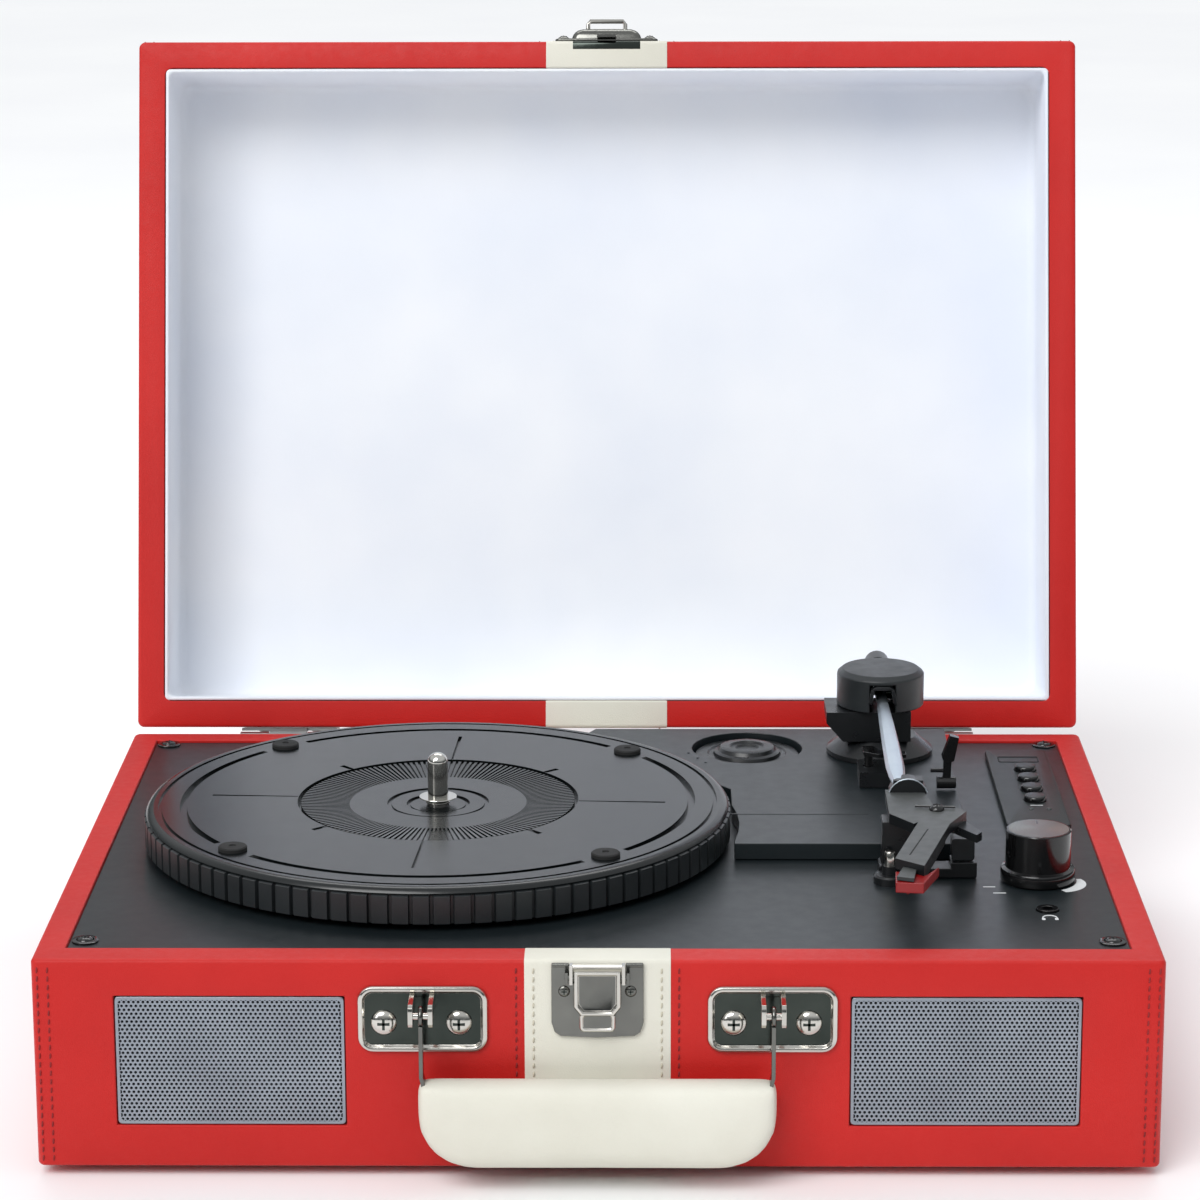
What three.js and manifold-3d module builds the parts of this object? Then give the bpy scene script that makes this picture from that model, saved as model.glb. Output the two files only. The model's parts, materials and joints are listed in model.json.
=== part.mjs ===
// A portable suitcase record player with a belt-driven platter, standing open.
// Millimetres, +Z up. The case's front faces -Y and +X is to the right.
// Inside the object's group, z = 0 is the underside of the case and x = y = 0 its centre.

import * as THREE from 'three';
import { mergeVertices } from 'three/addons/utils/BufferGeometryUtils.js';
import Module from 'manifold-3d';

const wasm = await Module();
wasm.setup();

// ---- Driving dimensions ----------------------------------------------------------------

const gap = 0.3;                 // clearance between two pieces that touch
const caseWidth = 355;
const caseDepth = 260;
const baseHeight = 69;
const lidHeight = 42;
const footHeight = 3;
const boardThickness = 9.5;      // wrapped side and back boards
const frontBoard = 12;
const edgeRound = 1.2;           // wrapped edges of the boards
const cornerRound = 2.5;         // upright corners of the case
const lidOpenAngle = 104.64;     // degrees from closed

const right = caseWidth / 2;
const front = -caseDepth / 2;
const back = caseDepth / 2;

const deckTop = baseHeight - 1;
const deckThickness = 1.7;
const ledgeWidth = 6;
const ledgeHeight = 8;
const bottomThickness = 3.5;
const platformHeight = 6;
const platformTop = deckTop + platformHeight;

const platterX = -56.3;
const platterY = 0;
const platterRadius = 100.3;
const platterTop = 82.5;
const skirtBottom = 74.2;
const beltRingRadius = 70;
const pulleyRadius = 5;
const motorReach = 82;           // spindle to motor shaft
const motorBearing = 135;        // degrees, behind and left of the spindle
const spindleRadius = 3.5;
const spindleTop = 99;

const armX = 100.2;              // upright axis of the tonearm
const armY = 88;
const armPivotZ = 96.5;          // cross axis of the tonearm
const armSlope = 1.3;            // degrees, nose down at rest
const capRadius = 15.8;
const capBottom = 92.5;
const capTop = 105.8;

const lidPivotY = back + 3.86;
const lidPivotZ = baseHeight - 2.9;
const lidBottom = baseHeight + 0.5;
const lidTop = lidBottom + lidHeight;
const lidBoard = 10;
const lidPanel = 3;
const linerThickness = 1;
const hingeX = 120;

const handleX = 54.8;            // handle plates, left and right of the middle
const handleZ = 49.8;
const handleY = -141;
const handlePivotZ = 54.5;
const gripBottom = 6;
const gripTop = 34;
const gripHalfLength = 56;
const gripThickness = 14;

const knobX = 145.3;
const knobY = -45;

const footX = 145;
const footY = 100;

// ---- Geometry helpers ------------------------------------------------------------------

function toSolid(geometry) {
  const bare = geometry.clone();
  bare.deleteAttribute('normal');
  bare.deleteAttribute('uv');
  const merged = mergeVertices(bare, 1e-4);
  const corners = Array.from(merged.index.array);
  const triangles = [];
  for (let i = 0; i < corners.length; i += 3) {
    const [a, b, c] = corners.slice(i, i + 3);
    if (a !== b && b !== c && c !== a) triangles.push(a, b, c);
  }
  return new wasm.Manifold(new wasm.Mesh({
    numProp: 3,
    vertProperties: new Float32Array(merged.attributes.position.array),
    triVerts: new Uint32Array(triangles),
  }));
}

function toGeometry(solid) {
  const mesh = solid.getMesh();
  const geometry = new THREE.BufferGeometry();
  geometry.setAttribute('position', new THREE.BufferAttribute(mesh.vertProperties, 3));
  geometry.setIndex(new THREE.BufferAttribute(mesh.triVerts, 1));
  return geometry;
}

function join(...geometries) {
  return toGeometry(geometries.map(toSolid).reduce((whole, piece) => whole.add(piece)));
}

function cut(geometry, ...tools) {
  const solids = tools.map(toSolid);
  return toGeometry(solids.reduce((whole, tool) => whole.subtract(tool), toSolid(geometry)));
}

function block(x0, x1, y0, y1, z0, z1) {
  const box = new THREE.BoxGeometry(x1 - x0, y1 - y0, z1 - z0);
  return box.translate((x0 + x1) / 2, (y0 + y1) / 2, (z0 + z1) / 2);
}

// An upright cylinder.
function post(radius, z0, z1, x = 0, y = 0, sides = 20) {
  const cylinder = new THREE.CylinderGeometry(radius, radius, z1 - z0, sides);
  return cylinder.rotateX(Math.PI / 2).translate(x, y, (z0 + z1) / 2);
}

// A cylinder lying along X.
function bar(radius, x0, x1, y, z, sides = 12) {
  const cylinder = new THREE.CylinderGeometry(radius, radius, x1 - x0, sides);
  return cylinder.rotateZ(Math.PI / 2).translate((x0 + x1) / 2, y, z);
}

// A cylinder lying along Y.
function rodAlongY(radius, y0, y1, x, z, sides = 16) {
  return new THREE.CylinderGeometry(radius, radius, y1 - y0, sides).translate(x, (y0 + y1) / 2, z);
}

// A profile of [radius, height] pairs turned about an upright axis.
function turned(profile, sides = 32, x = 0, y = 0) {
  const points = profile.map(([radius, height]) => new THREE.Vector2(radius, height));
  return new THREE.LatheGeometry(points, sides).rotateX(Math.PI / 2).translate(x, y, 0);
}

function roundedOutline(x0, x1, y0, y1, radius) {
  const outline = new THREE.Shape();
  outline.absarc(x1 - radius, y0 + radius, radius, -Math.PI / 2, 0);
  outline.absarc(x1 - radius, y1 - radius, radius, 0, Math.PI / 2);
  outline.absarc(x0 + radius, y1 - radius, radius, Math.PI / 2, Math.PI);
  outline.absarc(x0 + radius, y0 + radius, radius, Math.PI, 1.5 * Math.PI);
  outline.closePath();
  return outline;
}

function polygon(corners) {
  return new THREE.Shape(corners.map(([x, y]) => new THREE.Vector2(x, y)));
}

// An outline in X and Y, given a height from z0 to z1.
function slab(outline, z0, z1, curveSegments = 5) {
  const options = { depth: z1 - z0, bevelEnabled: false, curveSegments };
  return new THREE.ExtrudeGeometry(outline, options).translate(0, 0, z0);
}

// The same with its top and bottom edges rounded by `round`.
function softSlab(outline, z0, z1, round, curveSegments = 4) {
  const options = {
    depth: z1 - z0 - 2 * round,
    bevelEnabled: true,
    bevelSize: round,
    bevelOffset: -round,
    bevelThickness: round,
    bevelSegments: 2,
    curveSegments,
  };
  return new THREE.ExtrudeGeometry(outline, options).translate(0, 0, z0 + round);
}

// An outline in X and Z, given a depth from y0 to y1.
function upright(outline, y0, y1, curveSegments = 5) {
  const options = { depth: y1 - y0, bevelEnabled: false, curveSegments };
  return new THREE.ExtrudeGeometry(outline, options).rotateX(Math.PI / 2).translate(0, y1, 0);
}

// An outline in Y and Z, given a width from x0 to x1.
function sideways(outline, x0, x1, curveSegments = 5) {
  const options = { depth: x1 - x0, bevelEnabled: false, curveSegments };
  const turn = new THREE.Matrix4().set(0, 0, 1, 0, 1, 0, 0, 0, 0, 1, 0, 0, 0, 0, 0, 1);
  return new THREE.ExtrudeGeometry(outline, options).applyMatrix4(turn).translate(x0, 0, 0);
}

// ---- Materials and placing -------------------------------------------------------------

const finishes = {
  redLeather: [0xcb3432, 0.6, 0],
  creamLeather: [0xe9e7db, 0.6, 0],
  linerWhite: [0xe6e8ef, 0.8, 0],
  deckBlack: [0x3a3e40, 0.45, 0],
  blackPlastic: [0x1c1d1f, 0.4, 0],
  glossBlack: [0x0b0b0c, 0.15, 0],
  greyPlastic: [0x8b8d8c, 0.5, 0],
  redPlastic: [0xb01c20, 0.4, 0],
  rubber: [0x1a1a1a, 0.9, 0],
  chrome: [0xd8d8d6, 0.2, 1],
  steel: [0xaeb2b6, 0.35, 1],
  silverPaint: [0xc6cfd6, 0.35, 0.4],
  grille: [0x969ea6, 0.5, 0.6],
  board: [0x8a6a45, 0.8, 0],
  circuit: [0x1f5a36, 0.6, 0],
};

function piece(name, geometry, finish) {
  const [color, roughness, metalness] = finishes[finish];
  const material = new THREE.MeshStandardMaterial({ color, roughness, metalness, flatShading: true });
  const mesh = new THREE.Mesh(geometry, material);
  mesh.name = name;
  return mesh;
}

// ---- Case ------------------------------------------------------------------------------

const deckArea = {
  x0: -right + boardThickness,
  x1: right - boardThickness,
  y0: front + frontBoard,
  y1: back - boardThickness,
};

const grille = { x: 115.5, z: 35.5, halfWidth: 36.3, halfHeight: 21.5, recess: 2 };
const jackPanel = { x: 95, z: 34, halfWidth: 34, halfHeight: 14, lip: 4 };

function baseCase() {
  const { x0, x1, y0, y1 } = deckArea;
  const outline = roundedOutline(-right, right, front, back, cornerRound);
  const ledgeTop = deckTop - deckThickness - gap;
  const ledgeBottom = ledgeTop - ledgeHeight;
  const inset = ledgeWidth;
  const openings = [
    block(x0, x1, y0, y1, -1, ledgeBottom),
    block(x0 + inset, x1 - inset, y0 + inset, y1 - inset, ledgeBottom - 1, ledgeTop + 1),
    block(x0, x1, y0, y1, ledgeTop, baseHeight + 1),
  ];
  for (const side of [-1, 1]) {
    const x = side * grille.x;
    const { halfWidth: w, halfHeight: h, z, recess } = grille;
    const lip = 4;
    openings.push(block(x - w, x + w, front - 1, front + recess, z - h, z + h));
    openings.push(block(x - w + lip, x + w - lip, front, y0 + 1, z - h + lip, z + h - lip));
  }
  const { x, z, halfWidth: w, halfHeight: h, lip } = jackPanel;
  openings.push(block(x - w, x + w, back - 2, back + 1, z - h, z + h));
  openings.push(block(x - w + lip, x + w - lip, y1 - 1, back, z - h + lip, z + h - lip));
  return piece('base_case', cut(softSlab(outline, 0, baseHeight, edgeRound), ...openings), 'redLeather');
}

function bottomPanel() {
  const { x0, x1, y0, y1 } = deckArea;
  const panel = block(x0 + gap, x1 - gap, y0 + gap, y1 - gap, 0, bottomThickness);
  return piece('bottom_panel', panel, 'board');
}

function feet() {
  const profile = [[0, -footHeight - gap], [8, -footHeight - gap], [9, -gap], [0, -gap]];
  const corners = [
    ['front_left', -1, -1], ['front_right', 1, -1], ['rear_left', -1, 1], ['rear_right', 1, 1],
  ];
  return corners.map(([corner, sideX, sideY]) => {
    const foot = turned(profile, 24, sideX * footX, sideY * footY);
    return piece(`foot_${corner}`, foot, 'rubber');
  });
}

function speakers() {
  const pieces = [];
  for (const [name, side] of [['left', -1], ['right', 1]]) {
    const x = side * grille.x;
    const { z, recess } = grille;
    const w = grille.halfWidth - gap;
    const h = grille.halfHeight - gap;
    const inner = deckArea.y0 + gap;
    const plate = block(x - w, x + w, front + gap, front + recess - gap, z - h, z + h);
    pieces.push(piece(`speaker_grille_${name}`, plate, 'grille'));
    const frame = block(x - 33, x + 33, inner, inner + 2, z - 20, z + 20);
    const basket = new THREE.CylinderGeometry(12, 18, 14, 24).translate(x, inner + 8, z);
    const magnet = rodAlongY(15, inner + 14, inner + 24, x, z, 24);
    pieces.push(piece(`speaker_${name}`, join(frame, basket, magnet), 'blackPlastic'));
  }
  return pieces;
}

function rearPanel() {
  const { x, z, halfWidth: w, halfHeight: h } = jackPanel;
  const inletX = x + 20;
  const inletRadius = 5;
  const plate = block(x - w + gap, x + w - gap, back - 1.7, back - gap, z - h + gap, z + h - gap);
  const inletHole = rodAlongY(inletRadius + gap, back - 3, back + 1, inletX, z);
  const sockets = [-20, -2].map((offset) => cut(
    rodAlongY(4.2, back - 1.6, back + 5, x + offset, z),
    rodAlongY(1.6, back - 1, back + 6, x + offset, z, 12)));
  const panel = join(cut(plate, inletHole), ...sockets);
  const inlet = cut(
    join(
      rodAlongY(inletRadius, back - 10, back + 0.5, inletX, z),
      rodAlongY(inletRadius + 2, back - 10, back - 2, inletX, z),
    ),
    rodAlongY(2.8, back - 7, back + 1, inletX, z),
  );
  return [piece('rear_jack_panel', panel, 'blackPlastic'), piece('dc_inlet', inlet, 'blackPlastic')];
}

function mainBoard() {
  const boardTop = 15.6;
  const board = block(30, 130, -40, 60, 14, boardTop);
  const chips = [[50, -10, 9, 5], [90, 20, 12, 7], [110, -20, 6, 10]];
  const parts = chips.map(([x, y, half, height]) => {
    return block(x - half, x + half, y - half, y + half, boardTop - 0.6, boardTop + height);
  });
  return piece('main_board', join(board, ...parts), 'circuit');
}

// ---- Deck ------------------------------------------------------------------------------

const bushRadius = 6.5;
const bushBottom = deckTop - 14;
const bushTop = deckTop + 2.2;
const bearing = THREE.MathUtils.degToRad(motorBearing);
const motorX = platterX + motorReach * Math.cos(bearing);
const motorY = platterY + motorReach * Math.sin(bearing);
const armShaftRadius = 4.2;
const jack = { x: 145.5, y: -76.6, radius: 3.6 };
const panelArea = { x0: 139.8, x1: 162.3, y0: 9, y1: 103, height: 2.6 };
const buttons = { x: 152.3, y: 38.2, pitch: 12.6, radius: 3.85, stem: 2.4, travel: 1.2 };
const knobShaftRadius = 3;
const cueX = 121;
const cueY = 40;

function buttonRows() {
  return [0, 1, 2, 3].map((row) => buttons.y + row * buttons.pitch);
}

function deckPlate() {
  const { x0, x1, y0, y1 } = deckArea;
  const bottom = deckTop - deckThickness;
  const outline = roundedOutline(x0 + gap, x1 - gap, y0 + gap, y1 - gap, 1.5);
  const hole = (radius, x, y) => post(radius, bottom - 1, deckTop + 1, x, y, 16);
  const holes = [
    hole(bushRadius + gap, platterX, platterY),
    hole(pulleyRadius + 2, motorX, motorY),
    hole(armShaftRadius + 1.5, armX, armY),
    hole(knobShaftRadius + 1, knobX, knobY),
    hole(jack.radius + gap, jack.x, jack.y),
    ...buttonRows().map((y) => hole(buttons.stem + gap, buttons.x, y)),
  ];
  return piece('deck_plate', cut(slab(outline, bottom, deckTop), ...holes), 'deckBlack');
}

const adapter = { x: 52, y: 93, radius: 19, pocket: 20.2, floor: 70 };

function tonearmPlatform() {
  const outline = polygon([
    [-4, 118.4], [-7, 112], [45, 40], [45, -24], [118, -24], [126, -16], [124.8, 30], [126, 118.4],
  ]);
  const bottom = deckTop + gap;
  const platterClearance = post(platterRadius + 3, bottom - 1, platformTop + 1, platterX, platterY, 64);
  const adapterPocket = post(adapter.pocket, adapter.floor, platformTop + 1, adapter.x, adapter.y, 28);
  const shaftHole = post(armShaftRadius + 1.5, bottom - 1, platformTop + 1, armX, armY, 16);
  const moulding = slab(outline, bottom, platformTop);
  return piece('tonearm_platform', cut(moulding, platterClearance, adapterPocket, shaftHole), 'deckBlack');
}

function adapter45() {
  const floor = adapter.floor + gap;
  const profile = [
    [3.8, floor], [adapter.radius, floor], [adapter.radius, floor + 1.6], [11, floor + 3], [10, floor + 4.6],
    [5, floor + 4.6], [3.8, floor + 4], [3.8, floor],
  ];
  return piece('adapter_45', turned(profile, 28, adapter.x, adapter.y), 'blackPlastic');
}

function controlPanel() {
  const { x0, x1, y0, y1, height } = panelArea;
  const bottom = deckTop + gap;
  const moulding = softSlab(roundedOutline(x0, x1, y0, y1, 2), bottom, deckTop + height, 0.9);
  const holes = buttonRows().map((y) => {
    return post(buttons.radius + gap, bottom - 1, deckTop + 8, buttons.x, y);
  });
  return piece('control_panel', cut(moulding, ...holes), 'deckBlack');
}

function controlButtons() {
  const capBase = deckTop + gap + buttons.travel + 0.2;
  const capTopZ = deckTop + panelArea.height + 2;
  return buttonRows().map((y, row) => {
    const cap = post(buttons.radius, capBase, capTopZ, buttons.x, y);
    const stem = post(buttons.stem, deckTop - 6, capBase + 0.5, buttons.x, y, 12);
    return piece(`button_${row + 1}`, join(cap, stem), 'blackPlastic');
  });
}

function headphoneJack() {
  const { x, y, radius } = jack;
  const bore = 1.8;
  const shoulder = deckTop - deckThickness - gap;
  const bottom = deckTop - 12;
  const rim = deckTop + 0.8;
  const profile = [
    [bore, bottom], [radius + 1.5, bottom], [radius + 1.5, shoulder], [radius, shoulder],
    [radius, rim], [bore, rim], [bore, bottom],
  ];
  return piece('headphone_jack', turned(profile, 20, x, y), 'glossBlack');
}

function volumeControl() {
  const shaftTop = deckTop + 14;
  const body = block(knobX - 8, knobX + 8, knobY - 8, knobY + 8, deckTop - 14, deckTop - deckThickness - gap);
  const shaft = post(knobShaftRadius, deckTop - 8, shaftTop, knobX, knobY, 16);
  const pot = piece('volume_pot', join(body, shaft), 'steel');
  const knobBottom = deckTop + 0.5;
  const flange = 12.4;
  const bodyRadius = 11.2;
  const bore = knobShaftRadius + gap;
  const knobTop = knobBottom + 17.4;
  const profile = [
    [bore, knobBottom], [flange, knobBottom], [flange, knobBottom + 1.6],
    [bodyRadius + 0.4, knobBottom + 2.6], [bodyRadius, knobTop - 0.8], [bodyRadius - 0.8, knobTop],
    [0, knobTop], [0, shaftTop + gap], [bore, shaftTop + gap], [bore, knobBottom],
  ];
  return [pot, piece('volume_knob', turned(profile, 28, knobX, knobY), 'glossBlack')];
}

// ---- Drive and platter -----------------------------------------------------------------

function platterBearing() {
  const bore = spindleRadius + gap;
  const profile = [
    [bore, bushBottom], [bushRadius, bushBottom], [bushRadius, deckTop + gap], [9, deckTop + gap],
    [9, bushTop], [bore, bushTop], [bore, bushBottom],
  ];
  const bush = piece('platter_bearing', turned(profile, 20, platterX, platterY), 'steel');
  const flangeBottom = bushBottom - 3;
  const spindleProfile = [
    [0, flangeBottom], [bushRadius, flangeBottom], [bushRadius, bushBottom - gap],
    [spindleRadius, bushBottom - gap], [spindleRadius, spindleTop - 3],
    [spindleRadius - 0.9, spindleTop - 1], [0, spindleTop],
  ];
  return [bush, piece('spindle', turned(spindleProfile, 20, platterX, platterY), 'chrome')];
}

function platter() {
  const bore = spindleRadius + gap;
  const hubRadius = 12;
  const hubBottom = bushTop + gap;
  const wall = 3.2;
  const plateBottom = platterTop - wall;
  const skirtInner = platterRadius - wall;
  const profile = [
    [bore, hubBottom], [hubRadius, hubBottom], [hubRadius, plateBottom], [beltRingRadius - 3, plateBottom],
    [beltRingRadius - 3, skirtBottom], [beltRingRadius, skirtBottom], [beltRingRadius, plateBottom],
    [skirtInner, plateBottom], [skirtInner, skirtBottom], [platterRadius, skirtBottom],
    [platterRadius, platterTop - 2.4], [platterRadius - 1.8, platterTop - 0.2],
    [platterRadius - 3.5, platterTop], [bore, platterTop], [bore, hubBottom],
  ];
  return piece('platter', turned(profile, 48, platterX, platterY), 'blackPlastic');
}

const beltThickness = 1.2;
const beltBottom = 74.6;
const beltTop = 78.8;

function motorUnit() {
  const canTop = deckTop - deckThickness - gap;
  const can = post(13.5, deckTop - 26, canTop, motorX, motorY, 24);
  const shaft = post(1.2, canTop - 1, beltTop, motorX, motorY, 12);
  const bore = 1.5;
  const profile = [
    [bore, 72], [pulleyRadius + 1.5, 72], [pulleyRadius + 1.5, 73], [pulleyRadius, 74],
    [pulleyRadius, 78.9], [bore, 78.9], [bore, 72],
  ];
  return [
    piece('drive_motor', join(can, shaft), 'steel'),
    piece('motor_pulley', turned(profile, 20, motorX, motorY), 'steel'),
  ];
}

// The belt's loop: two arcs joined by the outer tangents of ring and pulley.
function beltLoop(offset) {
  const ringRadius = beltRingRadius + offset;
  const smallRadius = pulleyRadius + offset;
  const spread = Math.acos((ringRadius - smallRadius) / motorReach);
  const loop = new THREE.Path();
  loop.absarc(platterX, platterY, ringRadius, bearing + spread, bearing - spread + 2 * Math.PI);
  loop.absarc(motorX, motorY, smallRadius, bearing - spread, bearing + spread);
  loop.closePath();
  return loop;
}

function driveBelt() {
  const outline = new THREE.Shape(beltLoop(gap + beltThickness).getPoints(18));
  outline.holes.push(new THREE.Path(beltLoop(gap).getPoints(18)));
  return piece('drive_belt', slab(outline, beltBottom, beltTop), 'rubber');
}

// ---- Tonearm ---------------------------------------------------------------------------
// The turret is drawn about the crossing of the arm's two axes; the arm points to -Y.

const baseTop = 81;
const pinRadius = 1.2;
const lugInner = 5.2;
const lugOuter = 8.2;
const tubeTail = 15;
const tubeNose = -108;
const liftRod = { x: 94, y: 50, radius: 1.6 };

function tonearmBase() {
  const bore = armShaftRadius + gap;
  const bottom = platformTop + gap;
  const profile = [
    [bore, bottom], [19.3, bottom], [19.3, bottom + 1.7], [13, baseTop], [bore, baseTop], [bore, bottom],
  ];
  const lift = block(armX - 9.7, armX + 3, armY - 47, armY - 30, bottom, bottom + 5.5);
  const bridge = block(armX - 6, armX + 1, armY - 34, armY - 17, bottom, bottom + 1.7);
  const liftBore = post(liftRod.radius + gap, bottom - 1, bottom + 8, liftRod.x, liftRod.y, 16);
  const base = join(turned(profile, 28, armX, armY), lift, bridge);
  return piece('tonearm_base', cut(base, liftBore), 'blackPlastic');
}

function tonearmYoke() {
  const yokeBottom = baseTop + gap - armPivotZ;
  const yokeTop = capBottom - gap - armPivotZ;
  const profile = polygon([
    [-20, yokeTop], [-20, yokeTop - 4], [-14, yokeBottom], [10.5, yokeBottom], [10.5, yokeTop],
  ]);
  const body = upright(profile, -12.5, 8);
  const shaft = post(armShaftRadius, deckTop - 12 - armPivotZ, yokeBottom + 1, 0, 0, 16);
  const lugs = [-1, 1].map((side) => {
    const middle = side * (lugInner + lugOuter) / 2;
    const half = (lugOuter - lugInner) / 2;
    return block(middle - half, middle + half, -3.2, 3.2, yokeTop - 1, 3);
  });
  const pinHole = bar(pinRadius + gap, -12, 12, 0, 0, 16);
  return piece('tonearm_yoke', cut(join(body, shaft, ...lugs), pinHole), 'blackPlastic');
}

function tonearmCap() {
  const bottom = capBottom - armPivotZ;
  const top = capTop - armPivotZ;
  const inner = capRadius - 1.8;
  const profile = [
    [inner, bottom], [capRadius, bottom], [capRadius, top - 1.6], [capRadius - 2, top], [0, top],
    [0, top - 1.8], [inner, top - 1.8], [inner, bottom],
  ];
  const slot = block(-4.6, 4.6, -capRadius - 1, capRadius + 1, bottom - 1, top - 3);
  return piece('tonearm_cap', cut(turned(profile, 28), slot), 'blackPlastic');
}

function armPin() {
  return piece('arm_pivot_pin', bar(pinRadius, -10, 10, 0, 0, 16), 'steel');
}

function armTube() {
  const outline = polygon([
    [-2.2, tubeTail], [-2.2, 3], [-2.7, -20], [-2.7, tubeNose],
    [2.7, tubeNose], [2.7, -20], [2.2, 3], [2.2, tubeTail],
  ]);
  const tube = softSlab(outline, -2.1, 2.1, 0.7);
  return piece('arm_tube', cut(tube, bar(pinRadius + gap, -6, 6, 0, 0, 16)), 'silverPaint');
}

function counterweight() {
  const outline = new THREE.Shape();
  outline.moveTo(-4.5, -4.5);
  outline.lineTo(4.5, -4.5);
  outline.absarc(0, 4, 4.5, 0, Math.PI);
  outline.closePath();
  return piece('counterweight', upright(outline, tubeTail + 1.4, tubeTail + 11), 'blackPlastic');
}

// The nose of the arm is level at rest and is drawn in the case's own coordinates.
const shellTop = 91.5;
const shellBottom = 88;
const cartridgeBottom = 84.6;

function headshell() {
  const neck = polygon([[95.8, -19], [108.5, -19], [111, -38], [108, -52], [103, -58], [95.6, -46.6]]);
  const blade = polygon([
    [109.8, -40.1], [104.8, -55], [94.6, -95.3], [103.4, -103.2],
    [114.8, -58], [121.4, -43.7], [117.9, -39.1],
  ]);
  const wing = polygon([
    [115, -49], [118.3, -43.7], [120.5, -43.9], [125.5, -57], [123.5, -60.5], [117, -50],
  ]);
  const tongue = polygon([[97, -98], [94.4, -108], [99.7, -110], [101.2, -100]]);
  const shape = join(
    slab(neck, shellBottom, shellTop),
    slab(blade, shellBottom, shellTop),
    slab(tongue, shellBottom + 0.3, shellTop - 2),
    slab(wing, shellBottom - 2.4, shellBottom + 0.4),
    block(98.4, 108.4, -22, -16, shellBottom, 95.6),
  );
  const tubeSocket = block(armX - 3, armX + 3, armY + tubeNose - gap, armY + tubeNose + 9, 91.9, 97);
  return piece('headshell', cut(shape, tubeSocket), 'greyPlastic');
}

function cartridge() {
  const outline = polygon([[106, -58], [96.2, -94], [103.2, -100.5], [113.4, -58.5]]);
  return piece('cartridge', slab(outline, cartridgeBottom, shellBottom - gap), 'blackPlastic');
}

function stylus() {
  const outline = polygon([[94.6, -98], [94, -109.5], [102.8, -110.6], [108.9, -93], [104.2, -101.6]]);
  const body = slab(outline, cartridgeBottom, shellBottom);
  const needle = block(97.5, 98.5, -108, -107, cartridgeBottom - 1.1, cartridgeBottom + 0.5);
  return piece('stylus', join(body, needle), 'redPlastic');
}

// ---- Arm rest, cue lever and lift --------------------------------------------------------

const restY0 = -44;
const restY1 = -35;
const clipHingeX = 124;
const clipHingeZ = 75.2;

function armRest() {
  const bottom = deckTop + gap;
  const hollow = deckTop + 3.5;
  const clipSeat = clipHingeZ - 1.6;
  const armSeat = shellBottom - gap;
  const outline = polygon([
    [92.6, bottom], [125.2, bottom], [125.2, clipSeat], [116.6, clipSeat], [116.6, hollow],
    [106.5, hollow], [106.5, armSeat], [93.6, armSeat], [93.6, 73], [92.6, 72],
  ]);
  return piece('arm_rest', upright(outline, restY0, restY1), 'blackPlastic');
}

function restClip() {
  const outline = roundedOutline(-7.2, 0.4, -1.2, 6.4, 1.1);
  return piece('rest_clip', upright(outline, -3.6, 3.6, 3), 'greyPlastic');
}

function cueLever() {
  const stalk = upright(polygon([[-1.4, 0], [1.4, 0], [1.8, 9.5], [-1, 9.5]]), -1.2, 1.2);
  const blade = polygon([[-1.4, 8.6], [0.2, 7.2], [2.6, 8.2], [4.2, 16.6], [1, 17.4], [-1.8, 9.8]]);
  const paddle = upright(blade, -1.6, 1.6);
  const peg = bar(0.8, -5.6, 0, 0, 4.4, 12);
  const pivot = bar(2.2, -3.4, 3.4, 0, 0, 16);
  return piece('cue_lever', join(stalk, paddle, peg, pivot), 'glossBlack');
}

function liftBar() {
  const bottom = 84.6;
  const plate = polygon([[92, 54], [92, 46], [97, 43], [107, 43], [107, 47], [99, 48], [96, 54]]);
  const rod = post(liftRod.radius, platformTop + 1, bottom + 0.5, liftRod.x, liftRod.y, 16);
  return piece('lift_bar', join(slab(plate, bottom, bottom + 1.4), rod), 'glossBlack');
}

// ---- Handle ------------------------------------------------------------------------------

function handlePlates() {
  return [['left', -1], ['right', 1]].map(([name, side]) => {
    const x = side * handleX;
    const outline = roundedOutline(x - 20.5, x + 20.5, handleZ - 10.9, handleZ + 10.9, 5);
    const plate = upright(outline, front - 1.6, front - gap);
    const lugs = [-1, 1].map((edge) => {
      const lug = roundedOutline(handleY - 2.6, front - 1, handlePivotZ - 3, handlePivotZ + 3, 1.4);
      const lugX = x + edge * 3.1;
      return sideways(lug, lugX - 0.8, lugX + 0.8);
    });
    const pin = bar(1.1, x - 3.9, x + 3.9, handleY, handlePivotZ, 14);
    return piece(`handle_plate_${name}`, join(plate, ...lugs, pin), 'chrome');
  });
}

// One strap bent into a U, with an eye round each pin; drawn about the pivot line.
const strapHalf = 0.8;
const strapDepth = 8;
const strapRise = 12;            // the strap's bottom above the grip's underside

function handleBail() {
  const bottom = gripBottom + strapRise - handlePivotZ;
  const eyeOutline = new THREE.Shape().absarc(0, 0, 3.4, 0, 2 * Math.PI);
  const eye = (x) => sideways(eyeOutline, x - strapHalf, x + strapHalf, 10);
  const x = handleX;
  const half = strapDepth / 2;
  const strap = join(
    block(-x - strapHalf, x + strapHalf, -half, half, bottom, bottom + 2 * strapHalf),
    block(-x - strapHalf, -x + strapHalf, -half, half, bottom, -4),
    block(x - strapHalf, x + strapHalf, -half, half, bottom, -4),
    block(-x - strapHalf, -x + strapHalf, -2.6, 2.6, -5, 0),
    block(x - strapHalf, x + strapHalf, -2.6, 2.6, -5, 0),
    eye(-x),
    eye(x),
  );
  return piece('handle_bail', cut(strap, bar(1.4, -x - 4, x + 4, 0, 0, 14)), 'chrome');
}

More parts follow.
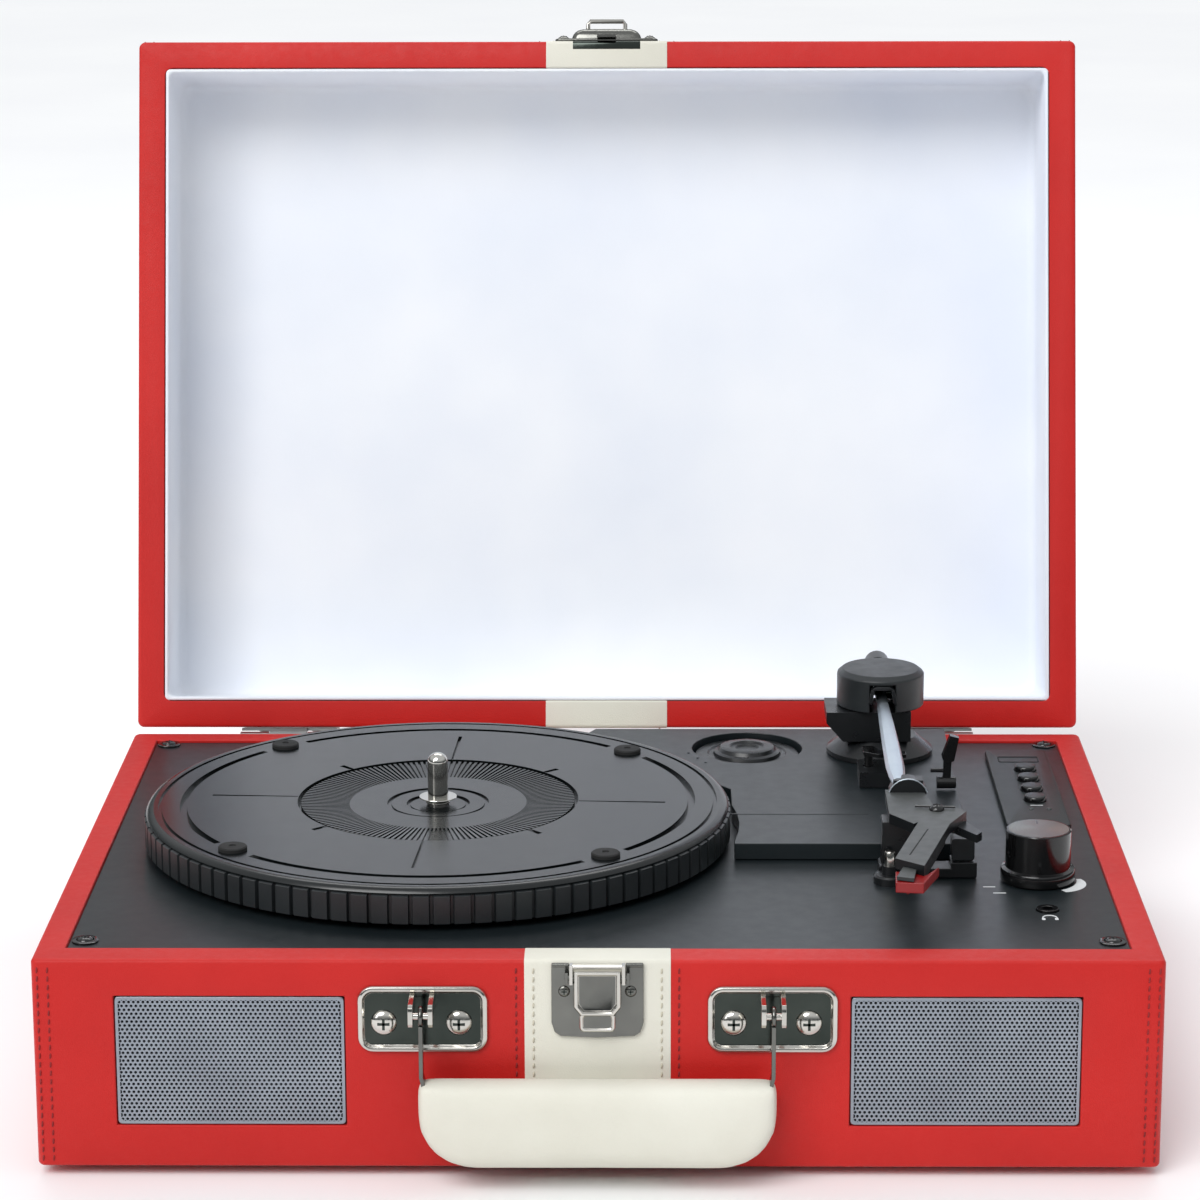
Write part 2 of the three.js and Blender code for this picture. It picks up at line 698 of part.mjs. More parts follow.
function handleGrip() {
  const top = gripTop - handlePivotZ;
  const bottom = gripBottom - handlePivotZ;
  const halfLength = gripHalfLength + 0.6;
  const outline = new THREE.Shape();
  outline.moveTo(-halfLength + 2, top);
  outline.lineTo(-halfLength, top - 2);
  outline.lineTo(-halfLength, top - 12);
  outline.quadraticCurveTo(-halfLength + 1, bottom, -halfLength + 15, bottom);
  outline.lineTo(halfLength - 15, bottom);
  outline.quadraticCurveTo(halfLength - 1, bottom, halfLength, top - 12);
  outline.lineTo(halfLength, top - 2);
  outline.lineTo(halfLength - 2, top);
  outline.closePath();
  const half = gripThickness / 2;
  const options = {
    depth: gripThickness - 7,
    bevelEnabled: true,
    bevelSize: 3,
    bevelOffset: -3,
    bevelThickness: 3.5,
    bevelSegments: 3,
    curveSegments: 6,
  };
  const grip = new THREE.ExtrudeGeometry(outline, options).rotateX(Math.PI / 2).translate(0, half - 3.5, 0);
  const channelBottom = gripBottom + strapRise - handlePivotZ - gap;
  const depth = strapDepth / 2 + gap;
  const x = handleX;
  const wide = strapHalf + gap;
  return piece('handle_grip', cut(
    grip,
    block(-x - wide, x + wide, -depth, depth, channelBottom, channelBottom + 2 * wide),
    block(-x - wide, -x + wide, -depth, depth, channelBottom, top + 1),
    block(x - wide, x + wide, -depth, depth, channelBottom, top + 1),
  ), 'creamLeather');
}

// ---- Latch -------------------------------------------------------------------------------

const latchHingeZ = 64.5;
const latchHingeY = front - 3.2;

function latchPlate() {
  const outline = polygon([
    [-14.4, 68.6], [-14.4, 48], [-12.4, 43.5], [0, 42.8], [12.4, 43.5], [14.4, 48], [14.4, 68.6],
    [8.7, 68.6], [8.7, 62], [-8.7, 62], [-8.7, 68.6],
  ]);
  const plate = upright(outline, front - 1.4, front - gap);
  const ears = [-9.6, 9.6].map((x) => {
    return block(x - 0.6, x + 0.6, front - 5, front - 1, latchHingeZ - 2, latchHingeZ + 2);
  });
  const pin = bar(0.9, -10, 10, latchHingeY, latchHingeZ, 12);
  return piece('latch_plate', join(plate, ...ears, pin), 'chrome');
}

function latchLever() {
  const outline = polygon([
    [-7.4, 1.8], [-7.4, -12], [-5.2, -15.2], [5.2, -15.2], [7.4, -12], [7.4, 1.8],
  ]);
  const tab = polygon([
    [-5.6, -14.8], [-5.6, -19.6], [-4.6, -20.4], [4.6, -20.4], [5.6, -19.6], [5.6, -14.8],
  ]);
  const lever = join(upright(outline, -1.8, 1.2), upright(tab, -1.2, 0.4));
  return piece('latch_lever', cut(lever, bar(1.2, -9, 9, 0, 0, 12)), 'chrome');
}

function latchLoop() {
  const wire = 0.7;
  const z = 3.6;
  const loop = join(
    bar(wire, -8, 8, -0.3, z, 10),
    block(-8.7, -7.7, -1.9, 1.5, -1.9, z + wire),
    block(7.7, 8.7, -1.9, 1.5, -1.9, z + wire),
  );
  return piece('latch_loop', cut(loop, bar(1.2, -9, 9, 0, 0, 12)), 'steel');
}

// ---- Lid, drawn closed in the case's coordinates -------------------------------------------

function lidShell() {
  const outline = roundedOutline(-right, right, front, back, cornerRound);
  const inner = slab(
    roundedOutline(-right + lidBoard, right - lidBoard, front + lidBoard, back - lidBoard, 3),
    lidBottom - 1,
    lidTop - lidPanel,
  );
  return piece('lid_shell', cut(softSlab(outline, lidBottom, lidTop, edgeRound), inner), 'redLeather');
}

function lidLiner() {
  const edge = lidBoard + gap;
  const ceiling = lidTop - lidPanel - gap;
  const outer = slab(
    roundedOutline(-right + edge, right - edge, front + edge, back - edge, 3),
    lidBottom + 0.6,
    ceiling,
  );
  const wall = edge + linerThickness;
  const inner = slab(
    roundedOutline(-right + wall, right - wall, front + wall, back - wall, 6),
    lidBottom - 1,
    ceiling - linerThickness,
  );
  return piece('lid_liner', cut(outer, inner), 'linerWhite');
}

function lidCatch() {
  const face = front - gap;
  const plate = block(-19.5, 19.5, face - 1, face, lidBottom + 0.8, lidBottom + 15);
  const bridge = sideways(polygon([
    [face - 0.5, lidBottom + 1], [face - 5, lidBottom + 3],
    [face - 5, lidBottom + 10], [face - 0.5, lidBottom + 13],
  ]), -13, 13);
  const hook = sideways(polygon([
    [face - 4.5, lidBottom + 4], [face - 8.5, lidBottom + 5],
    [face - 8.5, lidBottom + 8.5], [face - 4.5, lidBottom + 9],
  ]), -7.1, 7.1);
  const tab = block(-3.6, 3.6, face - 2.2, face - 1, lidBottom - 2, lidBottom + 3);
  return piece('lid_catch', join(plate, bridge, hook, tab), 'chrome');
}

// A strap hinge: the base leaf carries two knuckles and the pin, the lid leaf the middle knuckle.
const knuckleRadius = 2.4;
const hingePin = 1.1;
const leafHalf = 18;
const middleHalf = 7;

function hingeLeaf(x, z0, z1, spans, bore) {
  const leaf = block(x - leafHalf, x + leafHalf, back + gap, back + 1.3, z0, z1);
  const edge = Math.abs(z0 - lidPivotZ) < Math.abs(z1 - lidPivotZ) ? z0 : z1;
  const tongues = spans.map(([x0, x1]) => {
    const low = Math.min(edge, lidPivotZ) - 0.6;
    const high = Math.max(edge, lidPivotZ) + 0.6;
    return block(x0, x1, back + gap, back + 1.5, low, high);
  });
  const knuckles = spans.map(([x0, x1]) => bar(knuckleRadius, x0, x1, lidPivotY - 0.1, lidPivotZ));
  const joined = join(leaf, ...tongues, ...knuckles);
  if (!bore) return joined;
  return cut(joined, bar(bore, x - leafHalf, x + leafHalf, lidPivotY, lidPivotZ, 16));
}

function hinges() {
  const onBase = [];
  const onLid = [];
  for (const [name, side] of [['left', -1], ['right', 1]]) {
    const x = side * hingeX;
    const outerSpans = [[x - leafHalf, x - middleHalf - gap], [x + middleHalf + gap, x + leafHalf]];
    const lower = hingeLeaf(x, lidPivotZ - 18, lidPivotZ - 3.4, outerSpans, 0);
    const pin = bar(hingePin, x - leafHalf, x + leafHalf, lidPivotY, lidPivotZ, 16);
    onBase.push(piece(`hinge_base_leaf_${name}`, join(lower, pin), 'steel'));
    const middleSpan = [[x - middleHalf, x + middleHalf]];
    const upper = hingeLeaf(x, lidPivotZ + 3.8, lidPivotZ + 18, middleSpan, hingePin + gap);
    onLid.push(piece(`hinge_lid_leaf_${name}`, upper, 'steel'));
  }
  return { onBase, onLid };
}

// ---- Assembly ------------------------------------------------------------------------------

function lidAssembly(lidLeaves) {
  const lid = new THREE.Group();
  lid.add(lidShell(), lidLiner(), lidCatch(), ...lidLeaves);
  for (const part of lid.children) part.position.set(0, -lidPivotY, -lidPivotZ);
  lid.position.set(0, lidPivotY, lidPivotZ);
  lid.rotation.x = -THREE.MathUtils.degToRad(lidOpenAngle);
  return lid;
}

function tonearmAssembly() {
  const turret = new THREE.Group();
  turret.position.set(armX, armY, armPivotZ);
  const arm = new THREE.Group();
  arm.rotation.x = THREE.MathUtils.degToRad(armSlope);
  arm.add(armTube(), counterweight());
  turret.add(tonearmYoke(), tonearmCap(), armPin(), arm);
  return [tonearmBase(), turret, headshell(), cartridge(), stylus()];
}

function handleAssembly() {
  const handle = new THREE.Group();
  handle.position.set(0, handleY, handlePivotZ);
  handle.add(handleBail(), handleGrip());
  return [...handlePlates(), handle];
}

function latchAssembly() {
  const latch = new THREE.Group();
  latch.position.set(0, latchHingeY, latchHingeZ);
  latch.add(latchLever(), latchLoop());
  return [latchPlate(), latch];
}

function leverAssembly() {
  const lever = cueLever();
  lever.position.set(cueX, cueY, platformTop + 2.6);
  const clip = restClip();
  clip.position.set(clipHingeX, (restY0 + restY1) / 2, clipHingeZ);
  return [lever, liftBar(), armRest(), clip];
}

const { onBase, onLid } = hinges();

const recordPlayer = new THREE.Group();
recordPlayer.add(
  baseCase(), bottomPanel(), ...feet(), ...speakers(), ...rearPanel(), mainBoard(),
  deckPlate(), tonearmPlatform(), adapter45(), controlPanel(), ...controlButtons(), headphoneJack(),
  ...volumeControl(), ...platterBearing(), platter(), ...motorUnit(), driveBelt(),
  ...tonearmAssembly(), ...leverAssembly(), ...handleAssembly(), ...latchAssembly(),
  ...onBase, lidAssembly(onLid),
);

// The origin is on the ground under the middle of the open player's bounding box.
const openReach = caseDepth + (lidPivotY - back);
const lean = THREE.MathUtils.degToRad(lidOpenAngle - 90);
const rearmost = lidPivotY + openReach * Math.sin(lean) + (lidTop - lidPivotZ) * Math.cos(lean);
const foremost = handleY - gripThickness / 2;
recordPlayer.position.set(0, -(rearmost + foremost) / 2, footHeight + gap);

export default recordPlayer;
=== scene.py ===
"""The looks of a red and cream suitcase record player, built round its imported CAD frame.

Shapes are drawn in case millimetres: x = y = 0 is the middle of the case, z = 0 its underside,
and the front faces -Y. `place` turns them into the frame's metres. Pieces of the lid are drawn
with the lid closed, and `on_lid` opens them.
"""

import json
import math

import bmesh
import bpy
from mathutils import Matrix, Vector

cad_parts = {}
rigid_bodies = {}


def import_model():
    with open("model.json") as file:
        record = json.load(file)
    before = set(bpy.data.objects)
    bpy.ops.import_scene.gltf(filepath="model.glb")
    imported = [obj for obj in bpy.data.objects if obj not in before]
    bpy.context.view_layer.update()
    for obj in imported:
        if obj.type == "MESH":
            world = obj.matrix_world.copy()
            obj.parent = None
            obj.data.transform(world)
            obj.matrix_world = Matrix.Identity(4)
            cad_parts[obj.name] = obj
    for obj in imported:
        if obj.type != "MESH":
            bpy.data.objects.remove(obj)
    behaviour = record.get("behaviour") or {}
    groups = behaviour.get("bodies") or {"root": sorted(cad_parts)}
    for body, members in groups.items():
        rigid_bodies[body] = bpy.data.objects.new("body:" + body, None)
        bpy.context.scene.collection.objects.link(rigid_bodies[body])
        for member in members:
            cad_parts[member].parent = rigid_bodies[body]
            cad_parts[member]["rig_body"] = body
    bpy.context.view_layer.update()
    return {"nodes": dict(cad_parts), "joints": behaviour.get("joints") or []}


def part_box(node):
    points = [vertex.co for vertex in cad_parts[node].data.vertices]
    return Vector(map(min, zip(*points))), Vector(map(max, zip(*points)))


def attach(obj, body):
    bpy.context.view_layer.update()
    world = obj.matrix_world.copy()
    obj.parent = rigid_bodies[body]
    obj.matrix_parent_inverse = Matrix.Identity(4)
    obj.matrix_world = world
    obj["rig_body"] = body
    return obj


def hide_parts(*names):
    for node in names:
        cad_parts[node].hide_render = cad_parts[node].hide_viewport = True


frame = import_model()
nodes = frame["nodes"]

MM = 0.001
LID_ANGLE = math.radians(104.64)


# ---- Where things are ------------------------------------------------------------------

case_low, case_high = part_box("base_case")
ORIGIN = Vector(((case_low.x + case_high.x) / 2, (case_low.y + case_high.y) / 2, case_low.z))


def case_box(node):
    """A CAD node's low and high corners in case millimetres."""
    low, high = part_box(node)
    return (low - ORIGIN) / MM, (high - ORIGIN) / MM


def middle(node):
    """The middle of a CAD node's box in case millimetres."""
    low, high = case_box(node)
    return (low + high) / 2


place = Matrix.Translation(ORIGIN) @ Matrix.Scale(MM, 4)


def joint_point(name):
    """A point on a joint's axis in case millimetres."""
    joint = next(j for j in frame["joints"] if j["name"] == name)
    return (Vector(joint["pos_m"]) - ORIGIN) / MM


lid_pivot = joint_point("lid_hinge")
on_lid = (
    Matrix.Translation(lid_pivot)
    @ Matrix.Rotation(-LID_ANGLE, 4, "X")
    @ Matrix.Translation(-lid_pivot)
)

HALF_WIDTH = (case_high.x - case_low.x) / 2 / MM
HALF_DEPTH = (case_high.y - case_low.y) / 2 / MM
BASE_HEIGHT = (case_high.z - case_low.z) / MM
FRONT = -HALF_DEPTH
DECK_TOP = case_box("deck_plate")[1].z
PLATFORM_TOP = case_box("tonearm_platform")[1].z
LID_BOTTOM = BASE_HEIGHT + 0.5
LID_TOP = LID_BOTTOM + 42


# ---- Shapes: each is (points, faces) in millimetres --------------------------------------


def moved(shape, matrix):
    points, faces = shape
    return [matrix @ Vector(p) for p in points], faces


def turned(axis, degrees, x, y, z):
    """A turn about one axis, and then a move to a place."""
    return Matrix.Translation((x, y, z)) @ Matrix.Rotation(math.radians(degrees), 4, axis)


def loft(rings, closed_ring=True, cap=True, closed_path=False):
    """Quads between rings of equally many points, with the end rings capped."""
    count = len(rings[0])
    points = [Vector(p) for ring in rings for p in ring]
    faces = []
    pairs = len(rings) if closed_path else len(rings) - 1
    for i in range(pairs):
        a, b = i * count, ((i + 1) % len(rings)) * count
        for k in range(count if closed_ring else count - 1):
            n = (k + 1) % count
            faces.append((a + k, a + n, b + n, b + k))
    if cap and not closed_path:
        faces.append(tuple(range(count - 1, -1, -1)))
        faces.append(tuple(range(len(points) - count, len(points))))
    return points, faces


def sweep(start, end, steps):
    """Angles in radians from one angle to another, both given in degrees and both included."""
    return [math.radians(start + (end - start) * k / steps) for k in range(steps + 1)]


def polar(x, y, radius, angle):
    """The point at an angle in radians on a circle about (x, y)."""
    return x + radius * math.cos(angle), y + radius * math.sin(angle)


def circle(radius, z, sides, x=0.0, y=0.0):
    return [(*polar(x, y, radius, angle), z) for angle in sweep(0, 360, sides)[:-1]]


def lathe(profile, sides=48, x=0.0, y=0.0):
    """[radius, height] pairs turned about an upright axis; an end off the axis is capped."""
    rings = [circle(max(radius, 0.01), z, sides, x, y) for radius, z in profile]
    return loft(rings)


def torus_profile(radius, thickness, z, steps=10):
    """The profile of a round wire ring."""
    return [polar(radius, z, thickness, angle) for angle in sweep(0, 360, steps)[:-1]]


def ring(radius, thickness, z, x=0.0, y=0.0, sides=48):
    rings = [circle(r, h, sides, x, y) for r, h in torus_profile(radius, thickness, z)]
    return loft(rings, closed_path=True)


def prism(outline, z0, z1):
    return loft([[(x, y, z0) for x, y in outline], [(x, y, z1) for x, y in outline]])


def block(x0, x1, y0, y1, z0, z1):
    return prism([(x0, y0), (x1, y0), (x1, y1), (x0, y1)], z0, z1)


UPRIGHT = Matrix(((1, 0, 0, 0), (0, 0, -1, 0), (0, 1, 0, 0), (0, 0, 0, 1)))
SIDEWAYS = Matrix(((0, 0, 1, 0), (1, 0, 0, 0), (0, 1, 0, 0), (0, 0, 0, 1)))


def upright(outline, y0, y1):
    """An outline in X and Z, given a depth from y0 to y1."""
    return moved(prism(outline, -y1, -y0), UPRIGHT)


def sideways(outline, x0, x1):
    """An outline in Y and Z, given a width from x0 to x1."""
    return moved(prism(outline, x0, x1), SIDEWAYS)


def rounded(x0, x1, y0, y1, radius, steps=6):
    """The outline of a rectangle with rounded corners."""
    outline = []
    corners = [(x1, y0, -90), (x1, y1, 0), (x0, y1, 90), (x0, y0, 180)]
    for x, y, start in corners:
        cx = x - radius if x == x1 else x + radius
        cy = y - radius if y == y1 else y + radius
        outline += [polar(cx, cy, radius, angle) for angle in sweep(start, start + 90, steps)]
    return outline


def inset_rings(x0, x1, z0, z1, radius, front_y, insets, least_radius=None, steps=6):
    """Rounded rectangles in X and Z, one for each (inset, y) pair."""
    rings = []
    for inset, y in insets:
        turn = max(radius - inset, least_radius) if least_radius else radius
        outline = rounded(x0 + inset, x1 - inset, z0 + inset, z1 - inset, turn, steps)
        rings.append([(x, front_y + y, z) for x, z in outline])
    return rings


def tube(path, radius, sides=10, closed=False):
    """A round wire along a path of points."""
    path = [Vector(p) for p in path]
    rings = []
    side = None
    for i, point in enumerate(path):
        before = path[i - 1] if i or closed else point
        after = path[(i + 1) % len(path)] if i + 1 < len(path) or closed else point
        along = (after - before).normalized()
        if side is None:
            side = along.orthogonal().normalized()
        side = (side - along * side.dot(along)).normalized()
        up = along.cross(side)
        turn = 2 * math.pi / sides
        rings.append([
            point + radius * (math.cos(k * turn) * side + math.sin(k * turn) * up)
            for k in range(sides)
        ])
    return loft(rings, closed_path=closed)


def dome(radius, height, x, y, z, sides=20, steps=5):
    profile = [(radius * math.cos(a), z + height * math.sin(a)) for a in sweep(0, 90, steps)]
    return lathe(profile, sides, x, y)


# ---- Turning shapes into pieces ----------------------------------------------------------


def make(name, shapes, material, body, matrix=None, bevel=0.0, angle=35, instead_of=None):
    """Joins shapes into one mesh piece that rides on a CAD body, and may stand for a CAD node."""
    mesh = bpy.data.meshes.new(name)
    points = []
    faces = []
    for shape_points, shape_faces in shapes:
        base = len(points)
        points.extend(shape_points)
        faces.extend(tuple(base + k for k in face) for face in shape_faces)
    to_frame = place @ matrix if matrix else place
    mesh.from_pydata([to_frame @ Vector(p) for p in points], [], faces)
    work = bmesh.new()
    work.from_mesh(mesh)
    bmesh.ops.recalc_face_normals(work, faces=work.faces)
    work.to_mesh(mesh)
    work.free()
    piece = bpy.data.objects.new(name, mesh)
    bpy.context.scene.collection.objects.link(piece)
    mesh.materials.append(material)
    finish_edges(piece, bevel, angle)
    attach(piece, body)
    if instead_of:
        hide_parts(instead_of)
    return piece


def finish_edges(piece, bevel, angle):
    """Rounds the edges by `bevel` millimetres and smooths those flatter than `angle` degrees."""
    if bevel:
        mod = piece.modifiers.new("bevel", "BEVEL")
        mod.width = bevel * MM
        mod.segments = 2
        mod.limit_method = "ANGLE"
        mod.angle_limit = math.radians(30)
        mod.harden_normals = True
    piece.data.shade_smooth()
    piece.data.set_sharp_from_angle(angle=math.radians(angle))


def paint(piece, material, belongs):
    """Gives a second material to the faces that `belongs` picks by centre and normal."""
    piece.data.materials.append(material)
    to_case = place.inverted()
    for face in piece.data.polygons:
        if belongs(to_case @ face.center, face.normal):
            face.material_index = 1


def refine(node, material, bevel=0.3, angle=35):
    """Stands a copy of a CAD node in its place, with welded faces and softened edges."""
    source = nodes[node]
    mesh = source.data.copy()
    work = bmesh.new()
    work.from_mesh(mesh)
    bmesh.ops.remove_doubles(work, verts=work.verts, dist=1e-6)
    bmesh.ops.dissolve_limit(
        work, angle_limit=math.radians(0.5), verts=work.verts, edges=work.edges
    )
    bmesh.ops.recalc_face_normals(work, faces=work.faces)
    work.to_mesh(mesh)
    work.free()
    if mesh.attributes.get("custom_normal"):
        mesh.attributes.remove(mesh.attributes["custom_normal"])
    mesh.materials.clear()
    mesh.materials.append(material)
    piece = bpy.data.objects.new(f"{node}_look", mesh)
    bpy.context.scene.collection.objects.link(piece)
    finish_edges(piece, bevel, angle)
    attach(piece, source["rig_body"])
    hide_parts(node)
    return piece


# ---- Materials ---------------------------------------------------------------------------


def linear(colour):
    """An sRGB colour of three numbers up to 255, as Blender's linear RGBA."""
    made = [v / 255 for v in colour]
    made = [v / 12.92 if v <= 0.04045 else ((v + 0.055) / 1.055) ** 2.4 for v in made]
    return (*made, 1.0)


class Finish:
    """A Principled material whose colour, roughness and bump come from procedural textures."""

    def __init__(self, name, **sockets):
        self.material = bpy.data.materials.new(name)
        self.material.use_nodes = True
        self.tree = self.material.node_tree
        self.shader = self.tree.nodes["Principled BSDF"]
        for socket, value in sockets.items():
            self.shader.inputs[socket.replace("_", " ")].default_value = value
        self.place = self.node("ShaderNodeTexCoord").outputs["Object"]
        self.height = None

    def node(self, kind, **values):
        made = self.tree.nodes.new(kind)
        for key, value in values.items():
            setattr(made, key, value)
        return made

    def link(self, source, target):
        self.tree.links.new(source, target)

    def noise(self, scale, detail=3.0, rough=0.55, stretch=None):
        made = self.node("ShaderNodeTexNoise")
        made.inputs["Scale"].default_value = scale
        made.inputs["Detail"].default_value = detail
        made.inputs["Roughness"].default_value = rough
        self.link(self.stretched(stretch), made.inputs["Vector"])
        return made.outputs["Fac"]

    def cells(self, scale, feature="DISTANCE_TO_EDGE", stretch=None):
        made = self.node("ShaderNodeTexVoronoi", feature=feature)
        made.inputs["Scale"].default_value = scale
        self.link(self.stretched(stretch), made.inputs["Vector"])
        return made.outputs["Distance"]

    def stretched(self, stretch):
        if not stretch:
            return self.place
        made = self.node("ShaderNodeMapping")
        made.inputs["Scale"].default_value = stretch
        self.link(self.place, made.inputs["Vector"])
        return made.outputs["Vector"]

    def ranged(self, value, low, high, from_low=0.3, from_high=0.7):
        made = self.node("ShaderNodeMapRange")
        made.inputs["From Min"].default_value = from_low
        made.inputs["From Max"].default_value = from_high
        made.inputs["To Min"].default_value = low
        made.inputs["To Max"].default_value = high
        self.link(value, made.inputs["Value"])
        return made.outputs["Result"]

    def colours(self, value, first, second, from_low=0.3, from_high=0.7):
        made = self.node("ShaderNodeMix", data_type="RGBA")
        made.inputs["A"].default_value = linear(first)
        made.inputs["B"].default_value = linear(second)
        self.link(self.ranged(value, 0.0, 1.0, from_low, from_high), made.inputs["Factor"])
        self.link(made.outputs["Result"], self.shader.inputs["Base Color"])
        return self

    def rough(self, value, low, high):
        self.link(self.ranged(value, low, high), self.shader.inputs["Roughness"])
        return self

    def bump(self, value, depth_mm, strength=1.0):
        made = self.node("ShaderNodeBump")
        made.inputs["Distance"].default_value = depth_mm * MM
        made.inputs["Strength"].default_value = strength
        self.link(value, made.inputs["Height"])
        if self.height:
            self.link(self.height, made.inputs["Normal"])
        self.height = made.outputs["Normal"]
        self.link(self.height, self.shader.inputs["Normal"])
        return self


def leatherette(name, dark, light, rough):
    """Coated cloth with a fine pebble grain and soft colour drift."""
    made = Finish(name, Specular_IOR_Level=0.32, Sheen_Weight=0.04, Sheen_Roughness=0.5)
    made.colours(made.noise(14, 4), dark, light)
    made.rough(made.noise(320), rough - 0.05, rough + 0.08)
    made.bump(made.ranged(made.cells(1500), 0, 1, 0.0, 0.35), 0.05, 0.55)
    made.bump(made.noise(650, 2), 0.06, 0.5)
    return made.material


def moulded(name, dark, light, rough, grain=900, depth=0.03, coat=0.0, vary=1.0):
    """Moulded plastic with a spark-eroded texture."""
    made = Finish(name, Specular_IOR_Level=0.5, Coat_Weight=coat, Coat_Roughness=0.05)
    made.colours(made.noise(25, 4), dark, light)
    made.rough(made.noise(180), rough - 0.04 * vary, rough + 0.06 * vary)
    made.bump(made.noise(grain, 3), depth, 0.6)
    return made.material


def plated(name, dark, light, rough, stretch=None, vary=1.0):
    """Plated steel with faint handling marks."""
    made = Finish(name, Metallic=1.0)
    made.colours(made.noise(40, 3), dark, light)
    made.rough(made.noise(300, 5, 0.7, stretch), rough - 0.05 * vary, rough + 0.07 * vary)
    made.bump(made.noise(500, 3, 0.6, stretch), 0.006 * vary, 0.4)
    return made.material


def lining():
    """White flocked paper with short fibres."""
    made = Finish("liner_white", Roughness=0.85, Sheen_Weight=0.2)
    made.colours(made.noise(9, 3), (226, 231, 241), (242, 244, 248))
    made.bump(made.noise(900, 4, 0.7, (1.0, 0.35, 0.35)), 0.06, 0.5)
    made.bump(made.noise(120, 3), 0.08, 0.3)
    return made.material


red = leatherette("red_leatherette", (184, 24, 20), (197, 32, 27), 0.5)
cream = leatherette("cream_leatherette", (212, 209, 195), (225, 223, 211), 0.52)
white = lining()
deck = moulded("deck_satin", (18, 25, 28), (26, 33, 36), 0.36, grain=1500, depth=0.035,
               vary=0.5)
black = moulded("black_moulded", (15, 17, 19), (24, 26, 28), 0.3)
panel_black = moulded("panel_black", (14, 21, 23), (20, 27, 29), 0.44, depth=0.01, vary=0.3)
platter_black = moulded("platter_black", (9, 13, 14), (12, 17, 18), 0.23, depth=0.006,
                        vary=0.25)
grey = moulded("grey_moulded", (58, 61, 61), (70, 73, 72), 0.42)
cap_black = moulded("cap_black", (27, 31, 33), (37, 41, 43), 0.38)
gloss = moulded("gloss_black", (9, 9, 10), (14, 14, 15), 0.14, depth=0.003, coat=0.2)
scarlet = moulded("stylus_red", (124, 3, 7), (140, 7, 11), 0.35)
# Rubber for the feet, pads and belt, also used as painted shade: dark crosses for screw recesses
# and the dark screen inside the tonearm cap.
rubber_and_shade = moulded("rubber_black_and_painted_shade", (20, 20, 20), (30, 30, 30), 0.8, depth=0.06)
chrome = plated("nickel_plate", (188, 185, 178), (210, 207, 200), 0.13)
# Satin nickel, which also paints the latch lever's sunken floor darker than its rim as a painted
# dark reflection.
nickel_and_dark_reflection = plated("satin_nickel_and_painted_dark_reflection", (100, 100, 97), (124, 124, 119), 0.2)
polished = plated("polished_steel", (196, 194, 188), (206, 204, 198), 0.1, vary=0.3)
# A dark plating, used for the pivot pin and the catch's folded edge, that also gives painted shade:
# the dark crosses that stand for screw recesses, and the handle trays' floors, where it is a
# painted dark reflection.
dark_plate_shade = plated("dark_plate_and_painted_shade", (48, 53, 50), (66, 71, 67), 0.16)
steel = plated("plain_steel", (150, 150, 150), (176, 176, 174), 0.32, (1, 1, 8))
silver = plated("silver_paint", (196, 207, 216), (208, 217, 224), 0.34)
sheet = plated("grille_sheet", (146, 152, 161), (160, 167, 176), 0.38)
# Painted shade: a dark sheet behind each grille's holes, where the inside of the case shows
# through.
shade_backing = moulded("grille_shade_backing", (16, 20, 24), (24, 28, 33), 0.9, grain=600, depth=0.1)
thread_red = moulded("thread_red", (120, 20, 24), (146, 28, 30), 0.7)
thread_cream = moulded("thread_cream", (186, 180, 160), (204, 198, 180), 0.7)
fibre = moulded("fibreboard", (52, 40, 30), (78, 60, 44), 0.8, grain=500, depth=0.1)
pale = moulded("pale_print", (205, 207, 208), (222, 224, 225), 0.6, depth=0.004)
led = moulded("led_lens", (34, 40, 40), (52, 58, 58), 0.2, depth=0.004)
circuit = moulded("circuit_green", (24, 74, 44), (34, 92, 56), 0.5)


# ---- Case: wrap, trim strips and stitches ------------------------------------------------

STRIP_HALF = 22.9
STRIP_THICK = 0.22
EDGE = 1.2  # radius of the case's outer edges
INNER_EDGE = 0.6  # radius of its inner edges
RED_SEAMS = (172.2, 175.5, 25.5)
CREAM_SEAM = STRIP_HALF - 2.8
PROUD = 0.05  # how far stitches stand off the cover


def ribbon(path, half, thick):
    """A flat strip along a path of (y, z) points, each with its outward (y, z) normal."""
    section = ((-half, -0.2), (-half, 0.55), (-half + 0.3, 1), (half - 0.3, 1), (half, 0.55),
               (half, -0.2))
    return loft([
        [(x, y + ny * lift * thick, z + nz * lift * thick) for x, lift in section]
        for (y, z), (ny, nz) in path
    ])


def corner(y, z, radius, start, end, steps=5):
    """Points with normals round an edge, centred on (y, z), from one angle to another."""
    return [(polar(y, z, radius, angle), (math.cos(angle), math.sin(angle)))
            for angle in sweep(start, end, steps)]


def trim(name, path, body, matrix=None):
    """One of the cream strips that run over the middle of the case."""
    make(name, [ribbon(path, STRIP_HALF, STRIP_THICK)], cream, body, matrix)


def base_strips():
    """The strips on the base: up each face, over the rim and down inside to the deck."""
    inner_front, inner_back = -118.2, 120.5
    rim_z = BASE_HEIGHT - EDGE
    inner_z = BASE_HEIGHT - INNER_EDGE
    trim("front_strip", [
        ((FRONT, 0.4), (-1, 0)),
        *corner(FRONT + EDGE, rim_z, EDGE, 180, 90),
        *corner(inner_front - INNER_EDGE, inner_z, INNER_EDGE, 90, 0),
        ((inner_front, DECK_TOP), (1, 0)),
    ], "case")
    trim("back_strip", [
        ((inner_back, DECK_TOP), (-1, 0)),
        *corner(inner_back + INNER_EDGE, inner_z, INNER_EDGE, 180, 90),
        *corner(HALF_DEPTH - EDGE, rim_z, EDGE, 90, 0),
        ((HALF_DEPTH, 0.4), (1, 0)),
    ], "case")


